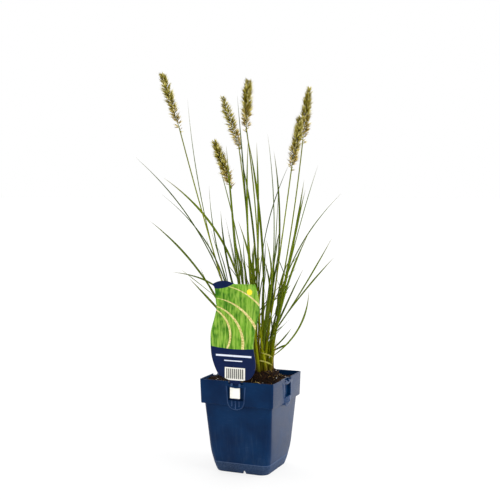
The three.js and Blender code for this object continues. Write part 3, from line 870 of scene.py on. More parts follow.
def make_inner_leaves():
    draw = random.Random(INNER_SEED)
    threads = Threads()
    for _leaf in range(INNER_LEAVES):
        away = level_way(draw.uniform(0, math.tau))
        foot = CROWN + away * draw.uniform(6, 19) + UP * (MOUND_TOP - 3)
        rise = draw.uniform(60, 260)
        tip = foot + away * rise * draw.uniform(0.12, 0.34) + UP * rise
        past = foot.lerp(tip, 0.55) - away * draw.uniform(1, 5)
        half_width = INNER_HALF_WIDTH * draw.uniform(0.7, 1.2)
        start_turn = draw.uniform(-1.2, 1.2)
        twist = draw.uniform(-1, 1)
        add_leaf(threads, Arch(foot, past, tip), 0, half_width, start_turn, twist, draw.random())
    for arch in stem_arches:
        for _blade in range(SIDE_BLADES_PER_STEM):
            away = level_way(draw.uniform(0, math.tau))
            place = draw.uniform(0.1, 0.45)
            open_angle = math.radians(draw.uniform(12, 42))
            way = arch.tangent(place) * math.cos(open_angle) + away * math.sin(open_angle)
            start = arch.point(place)
            length = draw.uniform(16, 62)
            past = start + way * length * 0.5 + UP * length * draw.uniform(-0.01, 0.06)
            half_width = INNER_HALF_WIDTH * draw.uniform(0.5, 0.9)
            add_leaf(threads, Arch(start, past, start + way * length), 0, half_width,
                     draw.uniform(-1, 1), draw.uniform(-1, 1), draw.random())
    leaves = sweep.grow(
        threads.recipe("inner_threads"), "inner_leaves",
        thickness=0.3, channel=0.4, blade=leaf_green, stalk=stalk_green)
    hand_over(leaves, "grass")


make_split_sheaths()
make_inner_leaves()

# %% [markdown]
# ## Old leaves
# The oldest leaves have died back to short pale straps, which lie bent across the foot of the clump. A
# mesh strip for each would do, but the same recipe sweeps them as well, with flatter sections and a straw
# finish. Each starts at a sheath at the front.


# %% Old leaves
OLD_LEAVES = [
    ((9.5, -20, 172), (20, -23, 171), (33.5, -20, 164)),
    ((15, -19.5, 184), (24, -22, 182), (33.5, -18, 176.5)),
    ((2, -20, 163), (-6, -24, 163), (-15, -23, 158.5)),
]
OLD_HALF_WIDTH = 1.0
OLD_TURN = 0.9
OLD_TWIST = 0.8


def straw_finish():
    paint = Finish("old leaf straw")
    tint = paint.carried("tint")
    ribs = (paint.carried("across") * 22).sine()
    patches = paint.noise(paint.place(), 160.0)
    straw = paint.mix(tint, srgb(140, 146, 48), srgb(196, 198, 92))
    straw = paint.mix(patches.rise(0.4, 0.7) * 0.5, straw, srgb(126, 104, 50))
    straw = paint.mix((ribs * 0.5 + 0.5) * 0.3, straw, srgb(104, 96, 34))
    return paint.done(
        Base_Color=straw, Roughness=0.55 + patches * 0.2, Specular_IOR_Level=0.3,
        Normal=paint.bump(ribs, 0.00006))


def make_old_leaves():
    threads = Threads()
    for number, places in enumerate(OLD_LEAVES):
        arch = Arch(*[Vector(place) for place in places])
        add_leaf(threads, arch, 0, OLD_HALF_WIDTH, OLD_TURN, OLD_TWIST, 0.9 - 0.4 * number)
    leaves = sweep.grow(
        threads.recipe("old_threads"), "old_leaves",
        thickness=0.14, channel=0.25, blade=straw_finish(), stalk=stalk_green)
    hand_over(leaves, "grass")


make_old_leaves()

# %% [markdown]
# ## Spikelets
# A flower head of this grass is a soft spike of many spikelets. Each spikelet is a pointed husk on a
# short foot, with a tuft of bristles that grow from under it. A head could be one fuzzy surface with a
# bump, but its outline would be smooth, and the outline is what says bristle. So three slightly different
# spikelets are built point by point, with few faces, because they are repeated hundreds of times.


# %% Spikelet shapes
SPIKELET_SEED = 60
SPIKELET_KINDS = 3
SPIKELET_LENGTH = 8.0
HUSK_RADIUS = 0.52
HUSK_SIDES = 4
HUSK_PROFILE = [(0.0, 0.2), (0.34, 0.24), (0.48, 0.85), (0.62, 1.0), (0.82, 0.6)]
HUSK_FLATNESS = 0.8
HUSK_TIP_LEAN = 0.25
BRISTLE_RADIUS = 0.17
BRISTLE_SIDES = 3
BRISTLE_RINGS = 2
BRISTLE_ROOT = 1.6


def add_spire(faces, first, rings, sides):
    """Faces round rings of points that end in one point, with a closed foot."""
    for ring in range(rings - 1):
        low = first + ring * sides
        for side in range(sides):
            after = (side + 1) % sides
            faces.append((low + side, low + after, low + sides + after, low + sides + side))
    top = first + (rings - 1) * sides
    for side in range(sides):
        faces.append((top + side, top + (side + 1) % sides, top + sides))
    faces.append(tuple(first + side for side in reversed(range(sides))))


def add_husk(vertices, faces, scale):
    """A pointed husk with a keel. Its profile gives height and swell as shares of its length and radius."""
    first = len(vertices)
    for height, swell in HUSK_PROFILE:
        for side in range(HUSK_SIDES):
            angle = side * math.tau / HUSK_SIDES
            keel = 1.15 if side % 2 == 0 else 0.9
            reach = HUSK_RADIUS * swell * keel * scale
            vertices.append(Vector((reach * math.cos(angle), HUSK_FLATNESS * reach * math.sin(angle),
                                    height * SPIKELET_LENGTH)))
    vertices.append(Vector((HUSK_TIP_LEAN, 0, SPIKELET_LENGTH)))
    add_spire(faces, first, len(HUSK_PROFILE), HUSK_SIDES)


def add_bristle(vertices, faces, start, direction, length, bend):
    """A three-sided bristle that bends up a little towards its point."""
    first = len(vertices)
    side = direction.orthogonal().normalized()
    for level in range(BRISTLE_RINGS):
        share = level / BRISTLE_RINGS
        centre = start + direction * length * share + UP * bend * share ** 2
        for corner in range(BRISTLE_SIDES):
            around = Matrix.Rotation(corner * math.tau / BRISTLE_SIDES, 3, direction) @ side
            vertices.append(centre + around * BRISTLE_RADIUS * (1 - 0.6 * share))
    vertices.append(start + direction * length + UP * bend)
    add_spire(faces, first, BRISTLE_RINGS, BRISTLE_SIDES)


def put_by(shape, holder):
    """Takes a shape out of the scene, into a holder from which a recipe can repeat it."""
    bpy.context.scene.collection.objects.unlink(shape)
    holder.objects.link(shape)


def make_spikelet(number, holder):
    """One kind of spikelet. Its points carry how far out they are and whether they are a bristle's."""
    draw = random.Random(SPIKELET_SEED + number)
    vertices, faces = [], []
    add_husk(vertices, faces, 0.92 + 0.08 * number)
    husk_count = len(vertices)
    bristles = 6 + number
    for i in range(bristles):
        turn = i * math.tau / bristles + draw.uniform(-0.3, 0.3)
        spread = (12, 28) if i % 4 == 3 else (1, 8)
        open_angle = math.radians(draw.uniform(*spread))
        outward = level_way(turn)
        direction = UP * math.cos(open_angle) + outward * math.sin(open_angle)
        start = outward * 0.3 + UP * BRISTLE_ROOT
        add_bristle(vertices, faces, start, direction, draw.uniform(5.4, 8.6), draw.uniform(0.1, 0.6))
    made = new_object(f"spikelet_{number}", [v * MM for v in vertices], [], faces)
    put_by(made, holder)
    carry(made, "reach", [v.z / SPIKELET_LENGTH for v in vertices])
    carry(made, "bristle", [float(i >= husk_count) for i in range(len(vertices))])
    print(made.name, len(faces), "faces")


# %% [markdown]
# ## Flower heads
# The spikelets sit in a spiral round a thin stalk. They could be scattered over it, but chance leaves
# bald spots, so each is turned on from the last by the golden angle, with only a little chance added, and
# no two stand above each other. They open wide at the foot of the head and close up towards its tip, and
# the head is fullest just below its middle. Each head on the plant is at another stage, so the recipe
# takes as its inputs how open the head is at either end and how far up its foot is bare.

# %% Flower head recipe
GOLDEN_TURN = math.pi * (3 - math.sqrt(5))
HEAD_REACH = 10.2
LARGEST_SPIKELET = 1.55
RACHIS_CORNERS = 7


def head_recipe():
    plan = Recipe(
        "flower head", spikelets="set", number="count", open_foot="number", open_tip="number",
        bare_foot="number", full_from="number", seed="count", husk="finish", stalk="finish")
    thread = plan.node("GeometryNodeMeshToCurve", None, {"Mesh": plan.given("shape")})
    stalk = plan.keep(plan.swept(thread, plan.circle(RACHIS_CORNERS)), "is_stalk", 1.0)

    values = {"Curve": thread, "Count": plan.given("number")}
    points = plan.node("GeometryNodeCurveToPoints", {"mode": "COUNT"}, values)
    tangent = points.other("Tangent")
    index = plan.node("GeometryNodeInputIndex")
    share = index / (plan.given("number") - 1)
    seed = plan.given("seed")
    jitter = plan.chance(-0.6, 0.6, seed)
    opening = plan.given("open_foot") * (1 - share) + plan.given("open_tip") * share
    opening = opening + plan.chance(-0.1, 0.1, seed + 1)
    envelope = ((share * 0.81 + 0.14) * math.pi).sine() ** 0.55
    size = envelope * (HEAD_REACH / SPIKELET_LENGTH) / plan.maths("SINE", opening)
    size = plan.maths("MINIMUM", size * plan.chance(0.58, 1.08, seed + 2), LARGEST_SPIKELET)
    points = plan.keep(points, "share", share)
    points = plan.keep(points, "tint", plan.chance(0.0, 1.0, seed + 3))
    bare = (1 - share.rise(0.0, plan.given("full_from"))) * plan.given("bare_foot")
    missing = plan.maths("LESS_THAN", plan.chance(0.0, 1.0, seed + 6), bare)

    values = {"Vector": tangent, "Factor": 1.0}
    upright = plan.node("FunctionNodeAlignRotationToVector", {"axis": "Z"}, values)
    around = plan.turned(upright, 0.0, 0.0, index * GOLDEN_TURN + jitter)
    opened = plan.turned(around, 0.0, opening, 0.0)
    rolled = plan.turned(opened, 0.0, 0.0, plan.chance(0.0, math.tau, seed + 4))
    kind = plan.choice(SPIKELET_KINDS - 1, seed + 5)
    tufts = plan.strewn(points, "spikelets", kind, rolled, size, where=1 - missing)
    plan.finished(plan.join(tufts, stalk), [("husk", None), ("stalk", plan.attribute("is_stalk"))])
    return plan


# %% [markdown]
# ## Finish of the heads
# A head is straw-coloured at its foot and greener towards its tip. Every spikelet is darker low down and
# paler at its points, and has its own tint. The dark foot is partly its own colour and partly painted shade
# of the crowded inside of the head; the pale points are partly their own colour and partly a painted
# highlight. One colour for all would turn the head into a solid brush, so the finish reads how far up the
# head a spikelet stands and how far out on the spikelet a point is.


# %% Spikelet finish
def husk_finish():
    paint = Finish("husk and bristle")
    share = paint.carried("share")
    tint = paint.carried("tint")
    reach = paint.carried("reach")
    bristle = paint.carried("bristle")
    grain = paint.noise(paint.place(), 700.0, 2.0)
    young = paint.mix(tint, srgb(120, 116, 26), srgb(196, 186, 88))
    old = paint.mix(tint, srgb(144, 120, 48), srgb(214, 194, 118))
    colour = paint.mix(1 - share.rise(0.15, 0.6), young, old)
    # Darker low on each spikelet: partly its own colour, partly painted shade inside the head.
    colour = paint.mix((1 - reach.rise(0.25, 0.5)) * 0.6, colour, srgb(100, 90, 18))
    # Paler points: partly their own colour, partly a painted highlight.
    colour = paint.mix(reach.rise(0.6, 1.0) * tint * 0.7, colour, srgb(242, 232, 176))
    colour = paint.mix(bristle * (1 - tint) * 0.7, colour, srgb(104, 84, 34))
    colour = paint.mix(grain.rise(0.4, 0.7) * 0.3, colour, srgb(110, 94, 28))
    return paint.done(
        Base_Color=colour, Roughness=0.7 + grain * 0.2, Specular_IOR_Level=0.05,
        Normal=paint.bump(grain, 0.0001))


# %% [markdown]
# ## Growing the heads
# Each head follows the arch that goes on from its own stalk. Heads could be copies of one, but on a real
# plant no two are at the same stage. The table gives for each head how far its spikelets open at its foot
# and at its tip, in degrees, the share of them that is missing at its foot, and the share of its length
# above which none is.


# %% Flower heads
HEAD_SPIKELETS = 230
HEAD_FOOT = -0.1
HEAD_TIP = 0.93
HEAD_RINGS = 30
RACHIS_RADIUS = 0.65
RACHIS_TAPER = 0.4
HEAD_STAGES = {
    1: (68, 34, 0.85, 0.4),
    2: (74, 44, 0.5, 0.2),
    3: (62, 34, 0.75, 0.26),
    4: (62, 36, 0.75, 0.26),
    5: (62, 34, 0.7, 0.24),
    6: (64, 36, 0.75, 0.26),
}


def put_away(holder):
    """Removes the shapes that a recipe has repeated."""
    for shape in list(holder.objects):
        bpy.data.objects.remove(shape)
    bpy.data.collections.remove(holder)


def make_heads():
    holder = bpy.data.collections.new("spikelets")
    for number in range(SPIKELET_KINDS):
        make_spikelet(number, holder)
    husk = husk_finish()
    grower = head_recipe()
    for number, arch in culms:
        threads = Threads()
        points = arch.points(HEAD_FOOT, HEAD_TIP, HEAD_RINGS)
        widths = [RACHIS_RADIUS - RACHIS_TAPER * i / HEAD_RINGS for i in range(HEAD_RINGS + 1)]
        threads.add_round(points, widths, 0.5)
        foot, tip, bare_foot, full_from = HEAD_STAGES[number]
        piece = grower.grow(
            threads.recipe(f"rachis_{number}"), f"flower_head_{number}", spikelets=holder,
            number=HEAD_SPIKELETS, open_foot=math.radians(foot), open_tip=math.radians(tip),
            bare_foot=bare_foot, full_from=full_from, seed=number * 10, husk=husk, stalk=stalk_green)
        hand_over(piece, "flower_head", f"head_{number}")
    put_away(holder)


make_heads()

# %% [markdown]
# ## Smooth outlines
# The label's outline is a row of listed points with a smooth curve through them. Arcs could be joined
# end to end, but a waved edge would take many. The spline used here passes through each of its points,
# so a few of them are enough. What is flat, such as the label or a raised line of the pot, is then such
# an outline made a plate, and its front edges are rounded as moulded and punched edges are.


# %% Outlines
TOUCH = 1e-7


def spline_through(points, steps):
    """A smooth row of places through the points, in steps from each point to the next."""
    padded = [points[0], *points, points[-1]]
    row = [points[0]]
    for before, start, end, after in zip(padded, padded[1:], padded[2:], padded[3:]):
        for step in range(1, steps + 1):
            t = step / steps
            row.append(tuple(
                0.5 * (2 * b + (c - a) * t + (2 * a - 5 * b + 4 * c - d) * t ** 2
                       + (3 * b - a - 3 * c + d) * t ** 3)
                for a, b, c, d in zip(before, start, end, after)))
    return row


def bow(start, knee, end, steps):
    """A quadratic arch, without its first place."""
    row = []
    for step in range(1, steps + 1):
        t = step / steps
        row.append(tuple(
            a * (1 - t) ** 2 + 2 * b * t * (1 - t) + c * t ** 2 for a, b, c in zip(start, knee, end)))
    return row


def built_mesh(name, shape):
    """The shape under construction as a mesh."""
    mesh = bpy.data.meshes.new(name)
    shape.to_mesh(mesh)
    shape.free()
    return mesh


def front_plate(name, outline, back, depth, edge=0.0):
    """An outline in X and Z made a plate, from y = back towards the viewer, with rounded edges."""
    shape = bmesh.new()
    ring = [shape.verts.new(Vector((x, back, z)) * MM) for x, z in outline]
    face = shape.faces.new(ring)
    moved = bmesh.ops.extrude_face_region(shape, geom=[face])["geom"]
    shift = Vector((0, -depth, 0)) * MM
    bmesh.ops.translate(shape, vec=shift, verts=[v for v in moved if isinstance(v, bmesh.types.BMVert)])
    bmesh.ops.recalc_face_normals(shape, faces=shape.faces)
    if edge:
        front = (back - depth) * MM
        rim = [e for e in shape.edges if all(abs(v.co.y - front) < TOUCH for v in e.verts)]
        bmesh.ops.bevel(shape, geom=rim, offset=edge * MM, segments=2, affect="EDGES", profile=0.5)
    return placed(name, built_mesh(name, shape))


# %% [markdown]
# ## The label's print
# The label is a thin plastic plate, printed as such plates are: a bright leafy scene over a dark blue
# foot. Here the scene is a design of its own: pale arched blades that spring from one side over a meadow
# of soft stripes, and a plain disc. The foot has two plain lines and a pale panel with even stripes. A
# picture file could be laid on the plate, but it would blur close up. So all of it is worked out from X
# and Z on the plate, in millimetres, layer over layer, as a screen printer would lay it.


# %% Label finish
ARCHED_BLADES = [(-47, 203, 58, 2.2), (-40, 190, 82, 2.7), (-52, 216, 42, 1.8), (-30, 196, 96, 2.0)]


DISC_PLACE = (22, 283)
DISC_EDGE = (4.2, 4.7)
FOOT_EDGE_HEIGHT = 195.3
BACK_FOOT_HEIGHT = 196.65
PLAIN_LINES = [(-34, 25, 183.4, 186.2), (-20, 10, 176.4, 178.0)]
PANEL = (-19, 14.5, 147.6, 167)
STRIPED_PART = (-16.6, 12.1, 149.8, 165.2)
STRIPE_STEP = 3.3
POCKET_PATCH = (-10.4, 6.3, 119.5, 136)
PRINT_SOFTNESS = 0.25


def arched_blade(x, z, blade):
    """1 inside a slim crescent that is part of a circle round (centre x, centre z), 0 outside it."""
    centre_x, centre_z, radius, half_width = blade
    distance = ((x - centre_x) ** 2 + (z - centre_z) ** 2) ** 0.5
    slim = (x - centre_x) / radius
    return 1 - ((distance - radius).size() - half_width * slim).rise(-0.4, 0.4)


def box_mask(x, z, box):
    """1 inside a box, given by its left, right, low and high edges, and 0 outside it."""
    left, right, low, high = box
    soft = PRINT_SOFTNESS
    sides = x.rise(left - soft, left + soft) * (1 - x.rise(right - soft, right + soft))
    return sides * z.rise(low - soft, low + soft) * (1 - z.rise(high - soft, high + soft))


def print_finish():
    paint = Finish("label print")
    place = paint.place()
    x, _y, z = (part * 1000 for part in paint.parts(place))
    grain = paint.noise(place, 420.0, 3.0)
    cloud = paint.noise(place, 60.0, 2.0)
    meadow = paint.noise(paint.stretch(place, (330, 330, 46)), 1.0, 3.0)
    green = paint.mix(cloud.rise(0.35, 0.65), srgb(50, 106, 18), srgb(102, 151, 42))
    green = paint.mix(meadow.rise(0.42, 0.66) * 0.8, green, srgb(142, 175, 71))
    green = paint.mix((1 - meadow.rise(0.3, 0.46)) * 0.6, green, srgb(22, 70, 14))
    for blade in ARCHED_BLADES:
        mask = arched_blade(x, z, blade)
        gold = paint.mix(grain.rise(0.35, 0.62), srgb(178, 158, 88), srgb(224, 208, 144))
        green = paint.mix(mask * 0.9, green, gold)
    disc = ((x - DISC_PLACE[0]) ** 2 + (z - DISC_PLACE[1]) ** 2) ** 0.5
    green = paint.mix(1 - disc.rise(*DISC_EDGE), green, srgb(238, 214, 52))
    wave = FOOT_EDGE_HEIGHT + (x + 3) ** 2 * 0.0018
    dark = 1 - (z - wave).rise(-0.3, 0.3)
    cap = (z - (x + 32) ** 2 * 0.011 - 286.5).rise(-0.3, 0.3) * (1 - x.rise(-1.0, 1.0))
    navy = paint.mix(cloud, srgb(8, 24, 58), srgb(16, 34, 72))
    colour = paint.mix(paint.maths("MAXIMUM", dark, cap), green, navy)
    for line in PLAIN_LINES:
        colour = paint.mix(box_mask(x, z, line) * 0.9, colour, srgb(214, 220, 236))
    colour = paint.mix(box_mask(x, z, PANEL), colour, srgb(222, 220, 212))
    stripes = (x * (math.tau / STRIPE_STEP)).sine().rise(-0.6, -0.1) * box_mask(x, z, STRIPED_PART)
    colour = paint.mix(stripes * 0.95, colour, srgb(44, 42, 38))
    colour = paint.mix(box_mask(x, z, POCKET_PATCH), colour, srgb(238, 237, 228))
    return paint.done(
        Base_Color=colour, Roughness=0.32 + grain * 0.1, Specular_IOR_Level=0.12,
        Normal=paint.bump(cloud, 0.0004))


def label_back_finish():
    paint = Finish("label back")
    place = paint.place()
    _x, _y, z = (part * 1000 for part in paint.parts(place))
    grain = paint.noise(place, 300.0, 3.0)
    white = paint.mix(grain, srgb(226, 226, 220), srgb(240, 240, 236))
    lower = 1 - z.rise(BACK_FOOT_HEIGHT - 0.15, BACK_FOOT_HEIGHT + 0.15)
    colour = paint.mix(lower, white, srgb(204, 210, 222))
    return paint.done(Base_Color=colour, Roughness=0.4 + grain * 0.1, Normal=paint.bump(grain, 0.00005))


# %% [markdown]
# ## The label
# The label is punched from plastic sheet, with a tongue that stands in the front pocket. A flat card would
# do from the front, but its edge shows from the side, so it is a real plate with a rounded front edge. The
# print goes on its front and its edge, and the plain finish on its back.


# %% Label
LABEL_PLANE = -58.1
LABEL_THICKNESS = 0.9
LABEL_EDGE = 0.2
LABEL_TOP = (-2, 294.5)
LABEL_TONGUE = [(-10.7, 117.55), (5.8, 117.35)]
LEFT_EDGE = [(-40, 293), (-36, 286), (-34, 266), (-33, 257), (-37, 240), (-42.5, 220), (-43, 200),
             (-41, 181), (-35, 164), (-28, 154), (-11, 147)]
RIGHT_EDGE = [(6, 147), (20, 150), (28, 158), (31.5, 169), (30.5, 183), (28, 198), (29, 213),
              (32, 230), (36.5, 248), (38, 259), (36.5, 274), (31, 295)]


def make_label():
    top = bow(LABEL_TOP, (-24, 304), LEFT_EDGE[0], 16)[:-1]
    outline = [*spline_through(LEFT_EDGE, 6), *LABEL_TONGUE, *spline_through(RIGHT_EDGE, 6), LABEL_TOP, *top]
    label = front_plate("plant_label", outline, LABEL_PLANE, LABEL_THICKNESS, LABEL_EDGE)
    label.data.materials.append(print_finish())
    label.data.materials.append(label_back_finish())
    for face in label.data.polygons:
        face.material_index = 1 if face.normal.y > 0.5 else 0
    hand_over(label, "label", "label")


make_label()

# %% [markdown]
# ## The pot's plan
# The pot is one thin moulding: a tapered square body that curls in towards its foot, a wider collar, and
# on each face a pocket that can hold a label. It could be a box with bevels, but the body's curl and the
# collar's bowed sides follow rules, so the skin is laid ring over ring. Its sides are the model's own: the
# same few driving sizes and the same two slopes are written here. What is finer are rounder corners, a
# rounded rim and lips, a slight step above the foot, and softened edges on the pocket.

# %% Pot sizes
RIM_WIDTH = 122
POT_HEIGHT = 146
COLLAR_HEIGHT = 37.5
COLLAR_BASE = POT_HEIGHT - COLLAR_HEIGHT
COLLAR_TAPER = 1.2
COLLAR_RADIUS = 2.5
HOLLOW_RADIUS = 1.5
BODY_TOP_WIDTH = 112
BODY_TOP_RADIUS = 5
BEND_HEIGHT = 42
BODY_SLOPE = 0.071
FOOT_WIDTH = 86
FOOT_RADIUS = 13
FOOT_RIM_WIDTH = 2.2
FOOT_PAD_RADIUS = 9
DRAIN_RADIUS = 4
DRAIN_REACH = 24
NOTCH_WIDTH = 6.5
NOTCH_PLACE = 7
WALL = 1.6
FLOOR_UNDERSIDE = 5
FLOOR_TOP = FLOOR_UNDERSIDE + WALL
SIDE_BOW = 0.8
LIP = 0.7
SOIL_LEVEL = 138.5


def body_half(z):
    """Half the body's width at a height. Below the bend it curls in towards the foot."""
    at_bend = BODY_TOP_WIDTH / 2 - BODY_SLOPE * (COLLAR_BASE - BEND_HEIGHT)
    if z >= BEND_HEIGHT:
        return BODY_TOP_WIDTH / 2 - BODY_SLOPE * (COLLAR_BASE - z)
    below = BEND_HEIGHT - z
    curl = at_bend - BODY_SLOPE * BEND_HEIGHT - FOOT_WIDTH / 2
    return at_bend - BODY_SLOPE * below - curl * (below / BEND_HEIGHT) ** 2


def body_radius(z):
    return FOOT_RADIUS - (FOOT_RADIUS - BODY_TOP_RADIUS) * z / COLLAR_BASE


def collar_half(z):
    return RIM_WIDTH / 2 - COLLAR_TAPER * (POT_HEIGHT - z) / COLLAR_HEIGHT


CORNER_STEPS = 10
SIDE_STEPS = 8


def rounded_square(half, radius, z, side_bow=0.0):
    """A square ring with round corners. Its sides may swell a little in their middle."""
    straight = half - radius
    ring = []
    for side in range(4):
        turn = Matrix.Rotation(side * math.pi / 2, 3, "Z")
        for step in range(SIDE_STEPS):
            x = straight * (2 * step / SIDE_STEPS - 1)
            swell = side_bow * (1 - (x / straight) ** 2)
            ring.append(turn @ Vector((x, -half - swell, z)))
        for step in range(CORNER_STEPS):
            angle = math.pi / 2 * (step / CORNER_STEPS - 1)
            ring.append(turn @ Vector((straight + radius * math.cos(angle),
                                       -straight + radius * math.sin(angle), z)))
    return ring


def loft(name, rings):
    """A closed skin through rings of equal count, with flat ends."""
    count = len(rings[0])
    vertices = [point * MM for ring in rings for point in ring]
    faces = []
    for level in range(len(rings) - 1):
        low = level * count
        for i in range(count):
            after = (i + 1) % count
            faces.append((low + i, low + after, low + count + after, low + count + i))
    last = (len(rings) - 1) * count
    faces.append(tuple(reversed(range(count))))
    faces.append(tuple(range(last, last + count)))
    return new_object(name, vertices, [], faces)


def cut_box(name, low, high):
    (x0, y0, z0), (x1, y1, z1) = low, high
    rings = [[Vector((x0, y0, z)), Vector((x1, y0, z)), Vector((x1, y1, z)), Vector((x0, y1, z))]
             for z in (z0, z1)]
    return loft(name, rings)


# %% [markdown]
# ## Rounded lips
# A moulded edge is never sharp. A Bevel modifier could round the finished pot, but it would catch every
# cut and rib as well. So a quarter circle of a few rings turns the wall over where the mould is rounded:
# at the rim, at the collar's lower edge and at the foot. The hollow's mouth flares by the same quarter.


# %% Pot skins
LIP_STEPS = 4
FOOT_STEP_HEIGHT = 16
FOOT_STEP = 0.3
CUT_CLEARANCE = 3
BAR_SIDES = 32


def lip_places(edge, way):
    """Height and inset of each ring of a rounded edge. The rings go up from it (1) or down (-1)."""
    turns = [math.pi / 2 * step / LIP_STEPS for step in range(LIP_STEPS + 1)]
    return [(edge + way * LIP * (1 - math.cos(turn)), LIP * (1 - math.sin(turn))) for turn in turns]


def body_ring(z, inset):
    return rounded_square(body_half(z) - inset, body_radius(z) - inset, z)


def outer_skin():
    rings = [body_ring(z, inset) for z, inset in lip_places(0, 1)]
    heights = [3, 6, 9, 12, FOOT_STEP_HEIGHT - 0.5, FOOT_STEP_HEIGHT + 0.5, 20, 24, 28, 32, 36, 40, 44]
    for z in [*heights, 60, 80, COLLAR_BASE]:
        rings.append(body_ring(z, -FOOT_STEP if z < FOOT_STEP_HEIGHT else 0))
    edges = lip_places(COLLAR_BASE, 1) + lip_places(POT_HEIGHT, -1)[::-1]
    for z, inset in edges:
        rings.append(rounded_square(collar_half(z) - inset, COLLAR_RADIUS - inset, z, SIDE_BOW))
    return loft("pot_outer", rings)


def hollow_skin():
    rings = [body_ring(z, WALL) for z in (FLOOR_TOP, 12, 20, 28, 36, 42, 75)]
    step = COLLAR_BASE + WALL
    rings.append(rounded_square(body_half(COLLAR_BASE) - WALL, body_radius(COLLAR_BASE) - WALL, step))
    for z in (step, POT_HEIGHT - LIP):
        rings.append(rounded_square(collar_half(z) - WALL, HOLLOW_RADIUS, z, SIDE_BOW))
    for z, flare in reversed(lip_places(POT_HEIGHT, -1)):
        if flare:
            rings.append(rounded_square(
                collar_half(z) - WALL + flare, HOLLOW_RADIUS + flare, z, SIDE_BOW))
    mouth = collar_half(POT_HEIGHT) - WALL + LIP
    rings.append(rounded_square(mouth, HOLLOW_RADIUS + LIP, POT_HEIGHT + CUT_CLEARANCE, SIDE_BOW))
    return loft("pot_hollow", rings)


def underside_recess():
    rings = [rounded_square(body_half(max(z, 0)) - FOOT_RIM_WIDTH, FOOT_RADIUS - FOOT_RIM_WIDTH, z)
             for z in (-1, FLOOR_UNDERSIDE)]
    return loft("underside", rings)


def round_bar(name, x, y, radius, low, high):
    ways = [level_way(i * math.tau / BAR_SIDES) for i in range(BAR_SIDES)]
    return loft(name, [[Vector((x, y, z)) + way * radius for way in ways] for z in (low, high)])


# %% [markdown]
# ## The label pocket
# The pocket is a small window in the collar with a wall behind it. A raised line runs round it, a strap
# with two little hooks crosses its mouth, and a ribbed pouch closes it below. All of this could be a bump
# in the finish, but the label stands in it and its lines show against the light, so it is real shape. It
# is drawn once, looking to the front, and turned to the other three faces. The raised line, the pouch's
# ribs and the hooks are marked to take a paler second finish, which is a painted highlight on their edges.

# %% Pocket sizes
WINDOW_HALF_WIDTH = 12.5
BACKING_HALF_WIDTH = WINDOW_HALF_WIDTH + 3
POCKET_FLOOR = 117
POCKET_BACK = 56.4
POUCH_TIP = 103.5
POUCH_PROUD = 0.8
POUCH_EDGE = 0.4
RIB_PLACES = (-6, 0, 6)
RIB_HALF_WIDTH = 0.8
STRAP_HALF_WIDTH = 17
STRAP_DIP = 4.5
STRAP_HEIGHT = 3.6
STRAP_END = POT_HEIGHT - 2
TAB_PLACES = (-6.6, 6.6)
TAB_HALF_WIDTH = 1.5
SHIELD_LINE = 1.5
SMALL_EDGE = 0.3
POUCH_ROOT = 0.8 - body_half(COLLAR_BASE)


# %% Pocket parts
def painted_highlight(part):
    """The part's faces take the second finish, the one with a painted highlight on raised edges."""
    for face in part.data.polygons:
        face.material_index = 1
    return part


def upright(x, half, low, high):
    return [(x - half, low), (x + half, low), (x + half, high), (x - half, high)]


def pocket_outline():
    """The raised line: a shield's outline, and the same outline drawn in by the line's width."""
    def shield(inset):
        half = STRAP_HALF_WIDTH - inset
        waist = WINDOW_HALF_WIDTH + 2.2 - inset
        top = STRAP_END - inset * 0.5
        tip = POUCH_TIP + inset
        left = bow((-waist, POCKET_FLOOR + 2), (-waist, tip), (0, tip - 1.2), 12)
        right = bow((0, tip - 1.2), (waist, tip), (waist, POCKET_FLOOR + 2), 12)
        return [(-half, top), (-waist, POCKET_FLOOR + 2), *left, *right, (half, top)]

    band = shield(0) + list(reversed(shield(SHIELD_LINE)))
    return painted_highlight(front_plate("outline", band, POUCH_ROOT, RIM_WIDTH / 2 + 0.5 + POUCH_ROOT, SMALL_EDGE))


def pocket_pouch():
    half = WINDOW_HALF_WIDTH + 0.4
    left = bow((-half, POCKET_FLOOR), (-half, POUCH_TIP), (0, POUCH_TIP), 12)
    right = bow((0, POUCH_TIP), (half, POUCH_TIP), (half, POCKET_FLOOR), 12)
    outline = [(-half, POCKET_FLOOR), *left, *right]
    face = RIM_WIDTH / 2 + POUCH_PROUD
    parts = [front_plate("pouch", outline, POUCH_ROOT, face + POUCH_ROOT, POUCH_EDGE)]
    for x in RIB_PLACES:
        rib = upright(x, RIB_HALF_WIDTH, POUCH_TIP + 1.2 + abs(x) * 0.55, POCKET_FLOOR - 0.6)
        parts.append(painted_highlight(front_plate("rib", rib, 1 - face, 1.7, SMALL_EDGE)))
    return parts


def pocket_strap():
    low_end = STRAP_END - STRAP_HEIGHT
    half = STRAP_HALF_WIDTH
    upper = bow((-half, STRAP_END), (0, STRAP_END - 2 * STRAP_DIP), (half, STRAP_END), 14)
    lower = bow((half, low_end), (0, low_end - 2 * STRAP_DIP), (-half, low_end), 14)
    outline = [(-half, STRAP_END), *upper, (half, low_end), *lower]
    parts = [front_plate("strap", outline, -RIM_WIDTH / 2 + 1.2, 2, POUCH_EDGE)]
    for x in TAB_PLACES:
        tab = upright(x, TAB_HALF_WIDTH, POT_HEIGHT - 7.5, POT_HEIGHT - 3.2)
        parts.append(painted_highlight(front_plate("tab", tab, 0.9 - RIM_WIDTH / 2, 2.2, SMALL_EDGE)))
    return parts


def pocket_backing():
    outer = collar_half(POCKET_FLOOR) - 0.6
    return cut_box("backing", (-BACKING_HALF_WIDTH, -outer, POCKET_FLOOR - 4),
                   (BACKING_HALF_WIDTH, -POCKET_BACK + WALL, STRAP_END))


def pocket_window():
    return cut_box("window", (-WINDOW_HALF_WIDTH, -RIM_WIDTH / 2 - 4, POCKET_FLOOR),
                   (WINDOW_HALF_WIDTH, -POCKET_BACK, POT_HEIGHT + 5))


